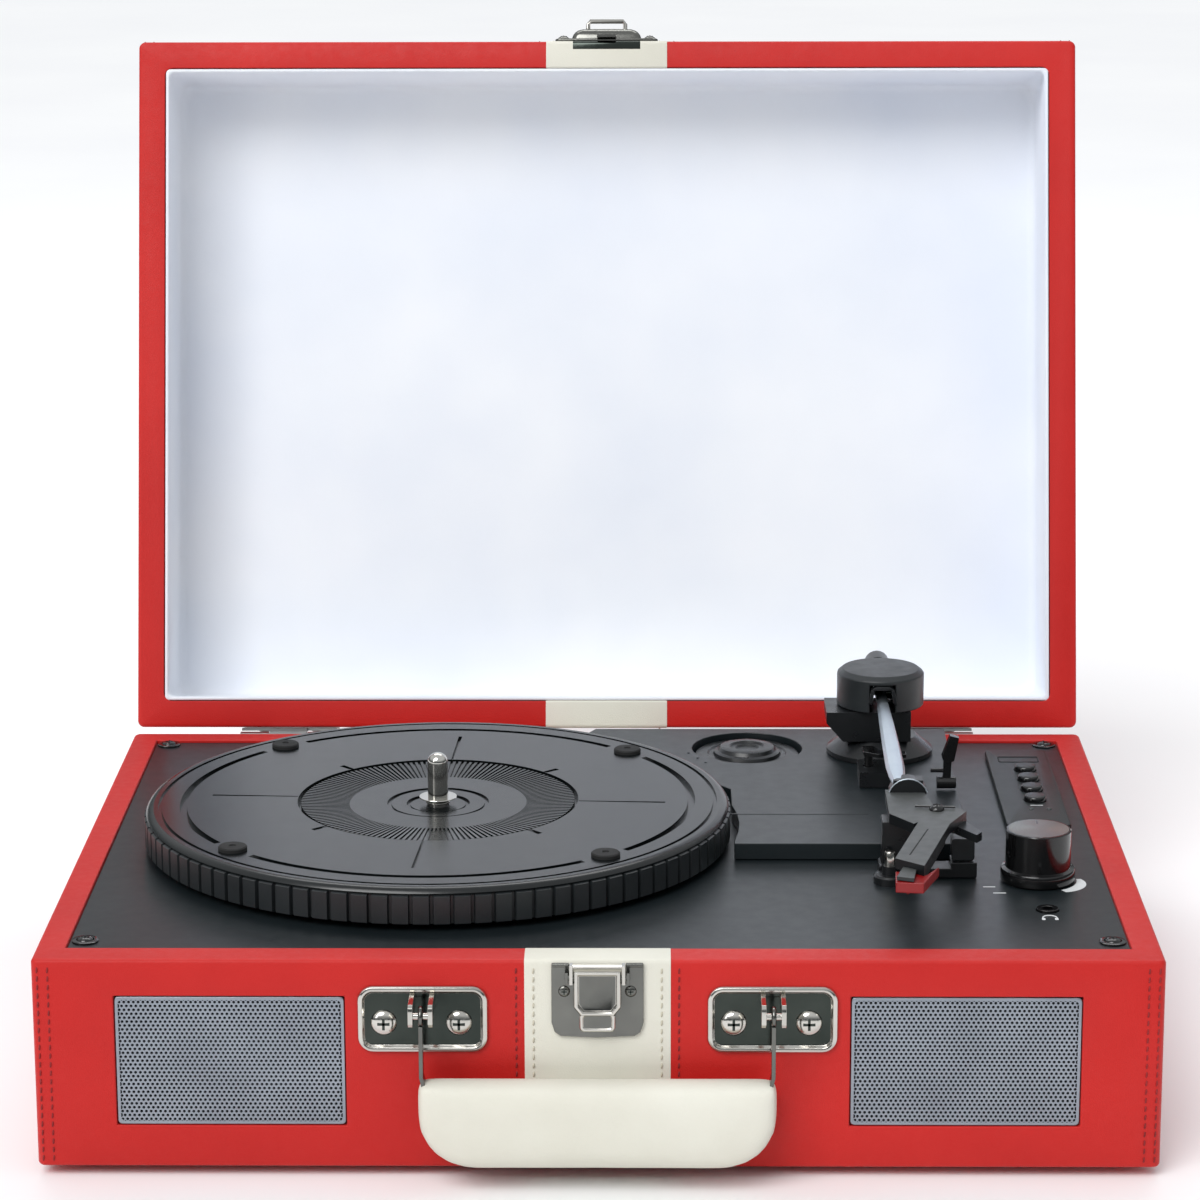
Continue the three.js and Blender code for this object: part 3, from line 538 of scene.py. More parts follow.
def lid_strip():
    """The strip round the lid, from just inside its front rim to just inside its back rim."""
    inner = HALF_DEPTH - 10
    edge_y = HALF_DEPTH - EDGE
    trim("lid_strip", [
        ((-inner, LID_BOTTOM + 2), (1, 0)),
        *corner(-inner - INNER_EDGE, LID_BOTTOM + INNER_EDGE, INNER_EDGE, 0, -90),
        *corner(-edge_y, LID_BOTTOM + EDGE, EDGE, -90, -180),
        *corner(-edge_y, LID_TOP - EDGE, EDGE, 180, 90),
        *corner(edge_y, LID_TOP - EDGE, EDGE, 90, 0),
        *corner(edge_y, LID_BOTTOM + EDGE, EDGE, 0, -90),
        *corner(inner + INNER_EDGE, LID_BOTTOM + INNER_EDGE, INNER_EDGE, -90, -180),
        ((inner, LID_BOTTOM + 2), (-1, 0)),
    ], "lid", on_lid)


def stitch(point, along, out, length=1.7, radius=0.26):
    """One stitch: a short thread that dips into the cover at both ends."""
    along = Vector(along).normalized()
    out = Vector(out).normalized()
    centre = Vector(point)
    path = []
    for t in (-1, -0.7, 0, 0.7, 1):
        lift = radius * (1.1 - 2.2 * t * t)
        path.append(centre + along * (t * length / 2) + out * lift)
    return tube(path, radius, 6)


def stitch_row(start, end, out, pitch=2.8):
    """A straight row of slanted stitches."""
    start, end = Vector(start), Vector(end)
    run = end - start
    count = max(1, int(run.length / pitch))
    slant = Vector((0.12, 0.0, 0.0))
    return [
        stitch(start + run * ((k + 0.5) / count), run.normalized() + slant, out)
        for k in range(count)
    ]


def stitches():
    """Red rows on the front faces, and cream rows along both edges of every strip."""
    face = FRONT - PROUD
    strip_face = face - STRIP_THICK
    back = HALF_DEPTH + STRIP_THICK + PROUD
    strip_top = LID_TOP + STRIP_THICK + PROUD
    forward, backward, up = (0, -1, 0), (0, 1, 0), (0, 0, 1)
    for red_name, cream_name, body, matrix, z0, z1 in (
        ("front_seams", "strip_seams", "case", None, 1.5, BASE_HEIGHT - 2),
        ("lid_seams", "lid_strip_seams", "lid", on_lid, LID_BOTTOM + 2, LID_TOP - 2),
    ):
        red_rows = []
        for x in RED_SEAMS:
            for side in (-1, 1):
                red_rows += stitch_row((side * x, face, z0), (side * x, face, z1), forward)
        cream_rows = []
        for x in (-CREAM_SEAM, CREAM_SEAM):
            cream_rows += stitch_row((x, strip_face, z0), (x, strip_face, z1), forward)
            cream_rows += stitch_row((x, back, z0), (x, back, z1), backward)
            if body == "lid":
                cream_rows += stitch_row((x, FRONT + 3, strip_top), (x, HALF_DEPTH - 3, strip_top),
                                         up)
        make(red_name, red_rows, thread_red, body, matrix, angle=60)
        make(cream_name, cream_rows, thread_cream, body, matrix, angle=60)


# ---- Grilles -----------------------------------------------------------------------------


def perforated(width, height, pitch, hole, thick=0.45):
    """A sheet in X and Z with round holes on a hexagonal grid, drawn about its middle."""
    points = []
    faces = []
    index = {}

    def point(x, y, z):
        key = (round(x, 3), round(y, 3), round(z, 3))
        if key not in index:
            index[key] = len(points)
            points.append(Vector((x, y, z)))
        return index[key]

    row_step = pitch * math.sqrt(3) / 2
    cell = pitch / math.sqrt(3)
    rows = int((height - 0.9) / row_step)
    columns = int((width - 0.9) / pitch)
    corners = [Vector(polar(0, 0, cell, angle)) for angle in sweep(30, 390, 6)]
    outer = []
    for first, second in zip(corners, corners[1:]):
        outer += [first, (first + second) / 2]
    inner = [Vector(polar(0, 0, hole, angle)) for angle in sweep(30, 390, 12)[:-1]]
    for row in range(rows):
        z0 = (row - (rows - 1) / 2) * row_step
        shift = pitch / 2 if row % 2 else 0
        for column in range(columns - (row % 2)):
            x0 = (column - (columns - 1) / 2) * pitch + shift
            for k in range(12):
                n = (k + 1) % 12
                o0, o1 = (point(x0 + outer[i].x, 0, z0 + outer[i].y) for i in (k, n))
                i0, i1 = (point(x0 + inner[i].x, 0, z0 + inner[i].y) for i in (k, n))
                b0, b1 = (point(x0 + inner[i].x, thick, z0 + inner[i].y) for i in (k, n))
                faces += [(o0, o1, i1, i0), (i0, i1, b1, b0)]
    return points, faces


def grilles():
    """Each speaker's punched sheet in its thin pressed frame, with a dark sheet behind it as
    painted shade.
    """
    for side in ("left", "right"):
        low, high = case_box(f"speaker_grille_{side}")
        centre = (low + high) / 2
        width, height = high.x - low.x, high.z - low.z
        front_y = FRONT + 0.35
        holes = moved(perforated(width, height, 1.5, 0.47),
                      Matrix.Translation((centre.x, front_y, centre.z)))
        rim = inset_rings(low.x, high.x, low.z, high.z, 1.4, front_y,
                          ((0, 0.9), (0, 0.15), (0.15, 0.0), (0.5, 0.0), (1.0, 0.02)))
        make(f"grille_sheet_{side}", [holes, loft(rim, cap=False)], sheet, "case",
             angle=50)
        # Painted shade: a dark sheet just behind the holes, where the inside of the case shows
        # through.
        backing = block(low.x, high.x, front_y + 0.8, front_y + 1.2, low.z, high.z)
        make(f"grille_shade_backing_{side}", [backing], shade_backing, "case", bevel=0.1,
             instead_of=f"speaker_grille_{side}")


# ---- Lid liner ---------------------------------------------------------------------------


def liner():
    """The lid's lining: walls that turn into the ceiling through a soft cove."""
    low_x, low_y = HALF_WIDTH - 10.3, HALF_DEPTH - 10.3
    ceiling = LID_TOP - 4.3
    rings = []

    def level(inset, z, radius):
        outline = rounded(-low_x + inset, low_x - inset, -low_y + inset, low_y - inset,
                          radius, 8)
        rings.append([(x, y, z) for x, y in outline])

    level(0.0, LID_BOTTOM + 0.6, 1.2)
    level(0.2, LID_BOTTOM + 0.2, 1.4)
    level(1.0, LID_BOTTOM + 0.2, 2.0)
    level(1.3, LID_BOTTOM + 0.8, 2.4)
    cove = 3.2
    for a in sweep(0, 90, 8):
        level(1.3 + cove * (1 - math.cos(a)), ceiling - cove + cove * math.sin(a), 2.4 + cove)
    top = prism([(x, y) for x, y, _ in rings[-1]], ceiling - 0.01, ceiling + 0.3)
    make("liner_look", [loft(rings, cap=False), top], white, "lid", on_lid,
         angle=60, instead_of="lid_liner")


# ---- Platter -----------------------------------------------------------------------------

platter_low, platter_high = case_box("platter")
PLATTER = (platter_low + platter_high) / 2
PLATTER_R = (platter_high.x - platter_low.x) / 2
PLATTER_TOP = platter_high.z
SKIRT_BOTTOM = platter_low.z
PAD_TURN = -3.0
PAD_RADIUS = 87.0


def near(angle, targets, width):
    return any(abs((angle - t + 180) % 360 - 180) < width for t in targets)


def platter_height(r, angle):
    """How far the platter's top stands below its highest plane, in millimetres."""
    long_lines = [PAD_TURN + 90 * k for k in range(4)]
    ticks = [PAD_TURN + 45 + 90 * k for k in range(4)]
    pads = [PAD_TURN + 45 + 90 * k for k in range(4)]
    depth = 0.0
    if 85.8 < r < 88.2 and not near(angle, pads, 6.5):
        depth = 1.6
    if 94.4 < r < 95.6:
        depth = 0.8
    if 48.2 < r < 78 and near(angle, long_lines, 0.43):
        depth = 1.1
    if 48.2 < r < 54 and near(angle, ticks, 1.02):
        depth = 1.3
    if 46.9 < r < 48.1:
        depth = 2.2
    if 30.4 < r <= 46.9:
        slope = 0.35 + 0.9 * (46.9 - r) / 16.5
        rib = 0.55 if 0.02 < (angle * 150 / 360) % 1 < 0.47 else 0.0
        depth = slope + rib
    if r <= 30.4:
        depth = 1.25
    if 16.0 < r < 17.4:
        depth = 1.9
    if r <= 16.0:
        depth = 1.5
    if 9.5 < r < 10.8:
        depth = 2.2
    if r <= 9.5:
        depth = 1.9
    return depth


def on_platter(radius, degrees, z):
    """A point at a radius and an angle about the platter's axis."""
    return (*polar(PLATTER.x, PLATTER.y, radius, math.radians(degrees)), z)


def platter_top():
    """The disc's upper side, with a ring of points at each step and a column at each line."""
    edges = [3.8, 6, 9.5, 10.8, 13, 16.0, 17.4, 20, 25, 30.4, 34, 38, 42, 46.9, 48.1, 54, 60,
             66, 72, 78, 82, 85.8, 88.2, 91, 94.4, 95.6, 97.2]
    radii = []
    for edge in edges:
        radii += [edge - 0.04, edge + 0.04]
    rib_steps = 150
    angles = set()
    for k in range(rib_steps):
        for part in (0.0, 0.04, 0.45, 0.49):
            angles.add(round((k + part) * 360 / rib_steps, 4))
    for k in range(8):
        for offset in (-1.06, -0.98, -0.47, -0.4, 0.4, 0.47, 0.98, 1.06):
            angles.add(round((PAD_TURN + 45 * k + offset) % 360, 4))
    angles = sorted(angles)
    rings = []
    for r in radii:
        rings.append([on_platter(r, a, PLATTER_TOP - platter_height(r, a)) for a in angles])
    for r, drop in ((98.3, 0.3), (99.2, 0.9), (99.7, 1.7), (99.5, 2.4)):
        rings.append([on_platter(r, a, PLATTER_TOP - drop) for a in angles])
    return loft(rings, cap=False)


def platter_skirt():
    """The toothed side wall, and the plain inside behind it."""
    skirt_top = PLATTER_TOP - 2.3
    blocks = 94
    skirt_angles = []
    for k in range(blocks):
        for part, out in ((0.0, 0), (0.05, 1), (0.45, 1), (0.82, 1), (0.87, 0)):
            skirt_angles.append(((k + part) * 360 / blocks, out))
    skirt = []
    for z, extra in ((skirt_top, -0.9), (skirt_top - 0.35, 0.0), (SKIRT_BOTTOM + 0.3, 0.0),
                     (SKIRT_BOTTOM, -0.3)):
        skirt.append([on_platter(PLATTER_R + extra if out else PLATTER_R - 1.5, a, z)
                      for a, out in skirt_angles])
    for radius, z in ((PLATTER_R - 3.2, SKIRT_BOTTOM), (PLATTER_R - 3.2, PLATTER_TOP - 3.2),
                      (3.8, PLATTER_TOP - 3.2)):
        skirt.append([on_platter(radius, a, z) for a, _ in skirt_angles])
    return loft(skirt, cap=False)


def platter():
    """The platter and the four round pads that stand on it."""
    piece = make("platter_look", [platter_top(), platter_skirt()], platter_black, "platter",
                 angle=28, instead_of="platter")
    # The skirt and underside take a rougher, lighter black: the roughness is their matte finish,
    # and the lighter colour is painted sheen.
    paint(piece, cap_black, lambda centre, normal: centre.z < PLATTER_TOP - 2.4)
    pads = []
    for k in range(4):
        x, y, z = on_platter(PAD_RADIUS, PAD_TURN + 45 + 90 * k, PLATTER_TOP)
        pads.append(lathe([(4.8, z - 0.2), (4.8, z + 1.0), (4.4, z + 1.4), (1.3, z + 1.5),
                           (1.0, z + 1.0), (0, z + 1.0)], 28, x, y))
    make("platter_pads", pads, rubber_and_shade, "platter")


def spindle():
    """A round-tipped post with a washer and two wire collars at its foot."""
    radius, top = 3.5, case_box("spindle")[1].z
    x, y = PLATTER.x, PLATTER.y
    z = PLATTER_TOP
    tip = 3.2
    post = [(radius, z - 6)]
    post += [(radius * math.cos(a), top - tip + tip * math.sin(a)) for a in sweep(0, 90, 7)]
    washer = lathe([(radius, z + 0.6), (6.4, z + 0.6), (6.5, z + 0.8), (6.4, z + 1.0),
                    (radius, z + 1.05)], 36, x, y)
    collars = [ring(radius + 0.25, 0.45, z + h, x, y, 32) for h in (0.1, -0.9)]
    make("spindle_look", [lathe(post, 36, x, y), washer, *collars], polished, "case",
         angle=40, instead_of="spindle")


# ---- Deck --------------------------------------------------------------------------------


def cross_screw(x, y, z, radius, height):
    """A domed screw with a cross recess, standing up."""
    head = dome(radius, height, x, y, z, 24)
    arm = radius * 0.46
    thin = radius * 0.1
    top = z + height
    # The cross is not cut into the head: two thin blocks stand just proud of it, and the callers
    # make them dark as painted shade for the recess.
    recess = [
        block(x - arm, x + arm, y - thin, y + thin, top - height * 0.25, top + 0.02),
        block(x - thin, x + thin, y - arm, y + arm, top - height * 0.25, top + 0.02),
    ]
    return head, recess


def deck_details():
    """The deck's corner screws, its pale prints, and the platform's seam and dots."""
    heads = []
    slots = []
    for x, y in ((-163, 117), (163, 117), (-163, -109), (163, -109)):
        heads.append(lathe([(4.3, DECK_TOP), (4.3, DECK_TOP + 0.5), (4.0, DECK_TOP + 0.7),
                            (2.9, DECK_TOP + 0.7), (2.9, DECK_TOP)], 28, x, y))
        head, recess = cross_screw(x, y, DECK_TOP + 0.5, 2.7, 1.1)
        heads.append(head)
        slots += recess
    make("deck_screws", heads, gloss, "case", angle=40)
    # Painted shade: the dark crosses stand for the screws' recesses.
    make("deck_screw_slots", slots, rubber_and_shade, "case")

    knob = middle("volume_knob")
    steps = 14
    inner = 12.9
    angles = sweep(-58, 4, steps)
    widths = [3.9 * math.sin(math.pi * (0.2 + 0.7 * k / steps)) ** 0.8 for k in range(steps + 1)]
    wedge = [polar(knob.x, knob.y, inner + w, a) for a, w in zip(angles, widths)]
    wedge += [polar(knob.x, knob.y, inner, a) for a in reversed(angles)]
    prints = [prism(wedge, DECK_TOP + 0.005, DECK_TOP + 0.05)]
    jack = middle("headphone_jack")
    arch = [(jack.x + 2.3 * math.cos(a), jack.y - 8.4 + 2.6 * math.sin(a), DECK_TOP + 0.03)
            for a in sweep(0, 180, 12)]
    prints.append(tube(arch, 0.26, 6))
    for side in (-1, 1):
        x = jack.x + side * 2.1
        prints.append(block(x - 0.55, x + 0.55, jack.y - 10.2, jack.y - 8.4,
                            DECK_TOP + 0.005, DECK_TOP + 0.06))
    for x0, x1, y in ((126.6, 130.6, -52.5), (129.4, 133.6, -59)):
        prints.append(block(x0, x1, y - 0.4, y + 0.4, DECK_TOP + 0.005, DECK_TOP + 0.04))
    make("deck_marks", prints, pale, "case")

    groove = [block(8, 45, 9.6, 10.4, PLATFORM_TOP - 0.3, PLATFORM_TOP + 0.12),
              block(45, 92, 9.6, 10.4, PLATFORM_TOP - 0.3, PLATFORM_TOP + 0.12)]
    dots = [lathe([(0.55, PLATFORM_TOP), (0.5, PLATFORM_TOP + 0.2), (0, PLATFORM_TOP + 0.25)],
                  10, x, y) for x, y in ((30.5, 86), (33.8, 79.5), (36.6, 73.5))]
    make("platform_seam", groove + dots, deck, "case", bevel=0.08)


def controls():
    """The push buttons, and the panel's marks, slot and lamps."""
    refine("control_panel", panel_black, 0.9)
    for k in range(1, 5):
        centre = middle(f"button_{k}")
        z = case_box(f"button_{k}")[1].z
        cap = lathe([(3.85, z - 3.2), (3.85, z - 0.7), (3.5, z - 0.15), (2.9, z),
                     (0, z - 0.25)], 32, centre.x, centre.y)
        piece = make(f"button_{k}_look", [cap], gloss, f"button_{k}",
                     angle=50, instead_of=f"button_{k}")
        # Painted light and shade: each cap's upward faces take a lighter black than its walls, as
        # lit tops over shaded front walls.
        paint(piece, cap_black, lambda centre, normal: normal.z > 0.7)
    top = case_box("control_panel")[1].z
    marks = []
    for k in range(1, 5):
        centre = middle(f"button_{k}")
        marks.append(block(centre.x - 2.2, centre.x + 2.2, centre.y - 6.6, centre.y - 6.1,
                           top, top + 0.04))
    make("panel_marks", marks, pale, "case")
    outline = rounded(143.8, 158.1, 86, 92.5, 0.6)
    path = [(x, y, top + 0.02) for x, y in outline]
    make("panel_slot", [tube(path, 0.22, 6, closed=True)], rubber_and_shade, "case")
    lenses = [dome(0.9, 0.5, x, 31.8 - 4.5, top, 16) for x in (150, 156.3)]
    make("panel_lamps", lenses, led, "case")


def knob_top_material():
    """Spun metal-look face: fine rings about the knob's own axis."""
    made = Finish("knob_spun", Metallic=0.9, Roughness=0.3, Anisotropic=0.85)
    knob = middle("volume_knob")
    centre = place @ Vector((knob.x, knob.y, 0))
    offset = made.node("ShaderNodeVectorMath", operation="SUBTRACT")
    offset.inputs[1].default_value = (centre.x, centre.y, 0)
    made.link(made.place, offset.inputs[0])
    flat = made.node("ShaderNodeVectorMath", operation="MULTIPLY")
    flat.inputs[1].default_value = (1, 1, 0)
    made.link(offset.outputs["Vector"], flat.inputs[0])
    radius = made.node("ShaderNodeVectorMath", operation="LENGTH")
    made.link(flat.outputs["Vector"], radius.inputs[0])
    rings = made.node("ShaderNodeTexNoise", noise_dimensions="1D")
    rings.inputs["Scale"].default_value = 5200
    rings.inputs["Detail"].default_value = 2
    made.link(radius.outputs["Value"], rings.inputs["W"])
    made.colours(rings.outputs["Fac"], (112, 114, 112), (146, 147, 144))
    made.bump(rings.outputs["Fac"], 0.01, 0.6)
    tangent = made.node("ShaderNodeTangent", direction_type="RADIAL", axis="Z")
    made.link(tangent.outputs["Tangent"], made.shader.inputs["Tangent"])
    return made.material


def volume_knob():
    """A glossy knob on a wider flange, with a spun face and a short pointer."""
    low, high = case_box("volume_knob")
    x, y = (low.x + high.x) / 2, (low.y + high.y) / 2
    z0, z1 = low.z, high.z
    flange = (high.x - low.x) / 2
    profile = [(3.3, z0), (flange - 0.3, z0), (flange, z0 + 0.4), (flange, z0 + 3.6),
               (flange - 0.3, z0 + 4.1), (flange - 0.9, z0 + 4.3), (10.9, z0 + 4.6),
               (10.8, z1 - 0.4), (10.5, z1 - 0.05), (10.1, z1 - 0.05), (10.0, z1 - 0.2)]
    body = lathe(profile, 72, x, y)
    make("volume_knob_look", [body], gloss, "volume_knob", angle=40,
         instead_of="volume_knob")
    disc = lathe([(10.0, z1 - 0.3), (10.0, z1), (4, z1), (0, z1)], 64, x, y)
    make("volume_knob_face", [disc], knob_top_material(), "volume_knob")
    pointer = block(x - 0.35, x + 0.35, y + 5.6, y + 9.0, z1 - 0.05, z1 + 0.03)
    make("volume_knob_pointer", [pointer], gloss, "volume_knob")


def adapter():
    """The stepped adapter for records with a large hole."""
    low, high = case_box("adapter_45")
    x, y = (low.x + high.x) / 2, (low.y + high.y) / 2
    z = low.z
    profile = [(3.8, z), (19, z), (19, z + 1.2), (18.6, z + 1.7), (14.5, z + 2.0),
               (14.0, z + 1.5), (12.4, z + 1.5), (12.0, z + 2.6), (10.6, z + 3.1),
               (9.8, z + 4.3), (9.0, z + 4.55), (6.4, z + 4.55), (5.8, z + 3.9),
               (4.4, z + 3.9), (3.8, z + 3.3)]
    make("adapter_look", [lathe(profile, 64, x, y)], black, "adapter_45",
         angle=32, instead_of="adapter_45")


# ---- Tonearm -----------------------------------------------------------------------------


def tonearm():
    """The arm's parts from its base to the stylus, with the cap, its hood and a dark screen in it
    as painted shade.
    """
    refine("tonearm_base", black)
    refine("tonearm_yoke", black)
    refine("arm_pivot_pin", dark_plate_shade)
    cap = middle("tonearm_cap")
    low, high = case_box("tonearm_cap")
    top = high.z
    radius = (high.x - low.x) / 2
    refine("tonearm_cap", cap_black, 0.5)
    lip = lathe([(radius - 2.0, top - 0.05), (radius - 2.4, top), (radius - 3.0, top - 0.06)],
                64, cap.x, cap.y)
    make("tonearm_cap_lip", [lip], cap_black, "turret", angle=60)
    hood_front = cap.y - radius
    hood_y = (hood_front - 1.2, hood_front + 2.2)
    hood = [upright([(cap.x - 4.2, top - 4.2), (cap.x - 2.4, top - 3.0),
                     (cap.x + 2.4, top - 3.0), (cap.x + 4.2, top - 4.2)], *hood_y)]
    for side in (-1, 1):
        hood.append(upright([(cap.x + side * 5.2, top - 9.2), (cap.x + side * 3.8, top - 9.2),
                             (cap.x + side * 3.0, top - 4.2), (cap.x + side * 4.2, top - 4.2)],
                            *hood_y))
    make("tonearm_hood", hood, black, "turret", bevel=0.15)
    # Painted shade: dark blocks inside the cap, behind the hood, so that its opening shows dark and
    # no light comes through it.
    screen_y = (cap.y + 5, cap.y + 6)
    screen = [block(cap.x - 2.7, cap.x + 2.7, *screen_y, top - 6.4, top - 3)]
    for side in (-1, 1):
        x0, x1 = sorted((cap.x + side * 2.6, cap.x + side * 5.4))
        screen.append(block(x0, x1, *screen_y, low.z + 0.1, top - 3))
    make("tonearm_cap_shade_screen", screen, rubber_and_shade, "turret")
    tapered_tube(cap)
    refine("counterweight", black, 0.6)
    shell_top = case_box("headshell")[1].z
    shell = refine("headshell", black, 0.35)
    paint(shell, grey, lambda centre, normal: normal.z > 0.9 and 89 < centre.z < shell_top - 1)
    refine("cartridge", black)
    refine("stylus", scarlet)
    refine("cue_lever", gloss, 0.25)
    refine("lift_bar", gloss, 0.2)
    refine("arm_rest", black, 0.35)
    refine("rest_clip", cap_black, 0.35)
    arm_details()


def tapered_tube(cap):
    """The flattened arm tube: narrow at the pivot, widest two thirds along, pointed at the nose."""
    sections = [(103, 2.2, 2.1), (72, 2.1, 2.1), (50, 2.6, 2.2), (20, 3.1, 2.3), (-2, 3.3, 2.3),
                (-12, 2.9, 2.1), (-19.4, 2.0, 1.7)]
    slope = math.tan(math.radians(1.3))
    rings = []
    for y, half, rise in sections:
        z = 96.5 + (y - 88) * slope
        rings.append([
            (cap.x - half, y, z), (cap.x - half * 0.82, y, z - rise * 0.7),
            (cap.x, y, z - rise), (cap.x + half * 0.82, y, z - rise * 0.7),
            (cap.x + half, y, z), (cap.x + half * 0.72, y, z + rise * 0.8),
            (cap.x + half * 0.25, y, z + rise), (cap.x - half * 0.25, y, z + rise),
            (cap.x - half * 0.72, y, z + rise * 0.8),
        ])
    make("arm_tube_look", [loft(rings)], silver, "arm", bevel=0.15,
         angle=50, instead_of="arm_tube")


def arm_details():
    """The headshell's slot and screw, the collar on the arm's nose, and the arm rest's post."""
    shell_top = 91.5
    slot_line = prism([(107.5, -63.7), (99.8, -91.7), (99.2, -91.9), (106.9, -64.1)],
                      shell_top - 0.2, shell_top + 0.03)
    make("headshell_slot", [slot_line], rubber_and_shade, "arm")
    arc = [(103.4 + 6.6 * math.sin(a), 89.9 + 6.2 * math.cos(a)) for a in sweep(-75, 75, 10)]
    fan = [(98.1, 88.3), *arc, (108.7, 88.3)]
    make("arm_collar", [upright(fan, -22.4, -15.8)], black, "arm", bevel=0.3)
    edge = [(x, -22.3, z + 0.05) for x, z in arc]
    make("arm_collar_edge", [tube(edge, 0.22, 8)], silver, "arm")
    screw, recess = cross_screw(111.6, -42.2, shell_top, 2.6, 1.9)
    wire = tube([(104.5, -40.2, shell_top + 0.6), (117.8, -41.2, shell_top + 0.6)], 0.35, 8)
    make("headshell_screw", [screw, wire], gloss, "arm")
    # Painted shade: the dark cross stands for the screw's recess.
    make("headshell_screw_slot", recess, rubber_and_shade, "arm")
    rest_base = lathe([(5.4, DECK_TOP), (5.4, DECK_TOP + 2.4), (4.8, DECK_TOP + 3.0),
                       (2.7, DECK_TOP + 3.0), (2.7, DECK_TOP + 6.0), (0, DECK_TOP + 6.0)],
                      28, 96, -47.6)
    make("rest_post_base", [rest_base], black, "case")
    pin = lathe([(1.9, DECK_TOP + 6), (1.9, DECK_TOP + 10.4), (1.6, DECK_TOP + 10.9),
                 (0, DECK_TOP + 11)], 20, 96, -47.6)
    make("rest_post_pin", [pin], chrome, "case")


# ---- Handle ------------------------------------------------------------------------------


def dished_plate(x0, x1, z0, z1, radius, front_y):
    """A pressed tray: a rolled rim round a sunken floor, standing against the case front."""
    section = ((0.0, -0.1), (0.0, -0.7), (0.35, -1.25), (1.0, -1.5), (1.6, -1.3),
               (2.0, -0.8), (2.3, -0.45), (2.8, -0.35), (3.3, -0.35))
    return loft(inset_rings(x0, x1, z0, z1, radius, front_y, section, least_radius=0.8, steps=8))


def face_screw(x, z, front_y, radius=4.2, height=1.9):
    """A domed cross-head screw facing the front."""
    turn = turned("X", 90, x, front_y, z)
    head, recess = cross_screw(0, 0, 0, radius, height)
    return moved(head, turn), [moved(r, turn) for r in recess]


def handle():
    """Both handle plates with their screws and lugs, and the swinging handle between them."""
    axis_point = joint_point("handle_swing")
    for side in ("left", "right"):
        low, high = case_box(f"handle_plate_{side}")
        x = (low.x + high.x) / 2
        shapes = [dished_plate(x - 20.5, x + 20.5, 38.9, 60.7, 5, FRONT)]
        recesses = []
        for dx in (-12.2, 11.4):
            head, recess = face_screw(x + dx, 48.6, FRONT - 0.4)
            shapes.append(head)
            recesses += recess
        for edge in (-3.1, 3.1):
            lug_x = x + edge
            outline = [(FRONT - 0.3, 58.8), (axis_point.y - 1.6, 58.8), (axis_point.y - 2.8, 58.0),
                       (axis_point.y - 3.2, 56.6), (axis_point.y - 3.1, 52.8),
                       (axis_point.y - 2.2, 51.6), (axis_point.y + 2.2, 51.8),
                       (FRONT - 2.4, 52.6), (FRONT - 0.3, 52.8)]
            shapes.append(sideways(outline, lug_x - 0.75, lug_x + 0.75))
        pin = tube([(x - 3.9, axis_point.y, axis_point.z), (x + 3.9, axis_point.y, axis_point.z)],
                   1.1, 16)
        shapes.append(pin)
        piece = make(f"handle_plate_{side}_look", shapes, chrome, "case", bevel=0.12,
                     angle=40)
        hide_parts(f"handle_plate_{side}")
        # Painted dark reflection: each tray's sunken floor takes the dark plate, while its rim and
        # screws stay bright plating.
        paint(piece, dark_plate_shade, lambda centre, normal: normal.y < -0.9 and centre.y > FRONT - 0.5)
        # Painted shade: the dark crosses stand for the screws' recesses.
        make(f"handle_screw_slots_{side}", recesses, dark_plate_shade, "case")
    bail(axis_point)
    grip()


def bail(axis_point):
    """A flat steel strap at each end: an eye round the pin, and a tail that goes into the grip."""
    grip_low, grip_high = case_box("handle_grip")
    shapes = []
    for side in (-1, 1):
        x = side * 54.8
        eye = ring(2.5, 0.8, 0)
        shapes.append(moved(eye, turned("Y", 90, x, axis_point.y, axis_point.z)))
        path = [(x, axis_point.z - 2.6), (x, grip_high.z + 1), (x - side * 1.2, grip_high.z - 4),
                (x - side * 5, grip_low.z + 12)]
        outer = [(px + 0.65, pz) for px, pz in path]
        inner = [(px - 0.65, pz) for px, pz in reversed(path)]
        shapes.append(upright(outer + inner, axis_point.y - 2.6, axis_point.y + 2.6))
    make("handle_bail_look", shapes, nickel_and_dark_reflection, "handle", bevel=0.2,
         instead_of="handle_bail")


def grip():
    """The padded hand grip: a rounded form swelled by a short cloth simulation."""
    low, high = case_box("handle_grip")
    centre = (low + high) / 2
    centre.z -= 0.7
    half_x, half_z = (high.x - low.x) / 2 - 0.5, (high.z - low.z) / 2 + 0.3
    half_y = (high.y - low.y) / 2 - 1.0
    big = 17.0  # the radius of the two lower corners
    outline = [(-half_x + 1.0, half_z), (-half_x, half_z - 1.0), (-half_x, half_z - 8)]
    outline += [polar(big - half_x, big - half_z, big, a) for a in sweep(180, 270, 8)]
    outline += [(-x, z) for x, z in reversed(outline)]
    rings = []
    for a in sweep(-90, 90, 8):
        inset = 3.2 * (1 - math.cos(a)) ** 1.2
        y = half_y * math.sin(a)
        sx = (half_x - inset) / half_x
        sz = (half_z - inset) / half_z
        rings.append([(centre.x + x * sx, centre.y + y, centre.z + z * sz) for x, z in outline])
    piece = make("handle_grip_look", [loft(rings)], cream, "handle", angle=80)
    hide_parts("handle_grip")
    remesh = piece.modifiers.new("remesh", "REMESH")
    remesh.mode = "VOXEL"
    remesh.voxel_size = 2.2 * MM
    bake(piece)
    swell(piece, cap=0.7 * MM)
    soft = piece.modifiers.new("soft", "SMOOTH")
    soft.factor = 0.5
    soft.iterations = 4
    sub = piece.modifiers.new("sub", "SUBSURF")
    sub.levels = sub.render_levels = 1
    piece.data.shade_smooth()


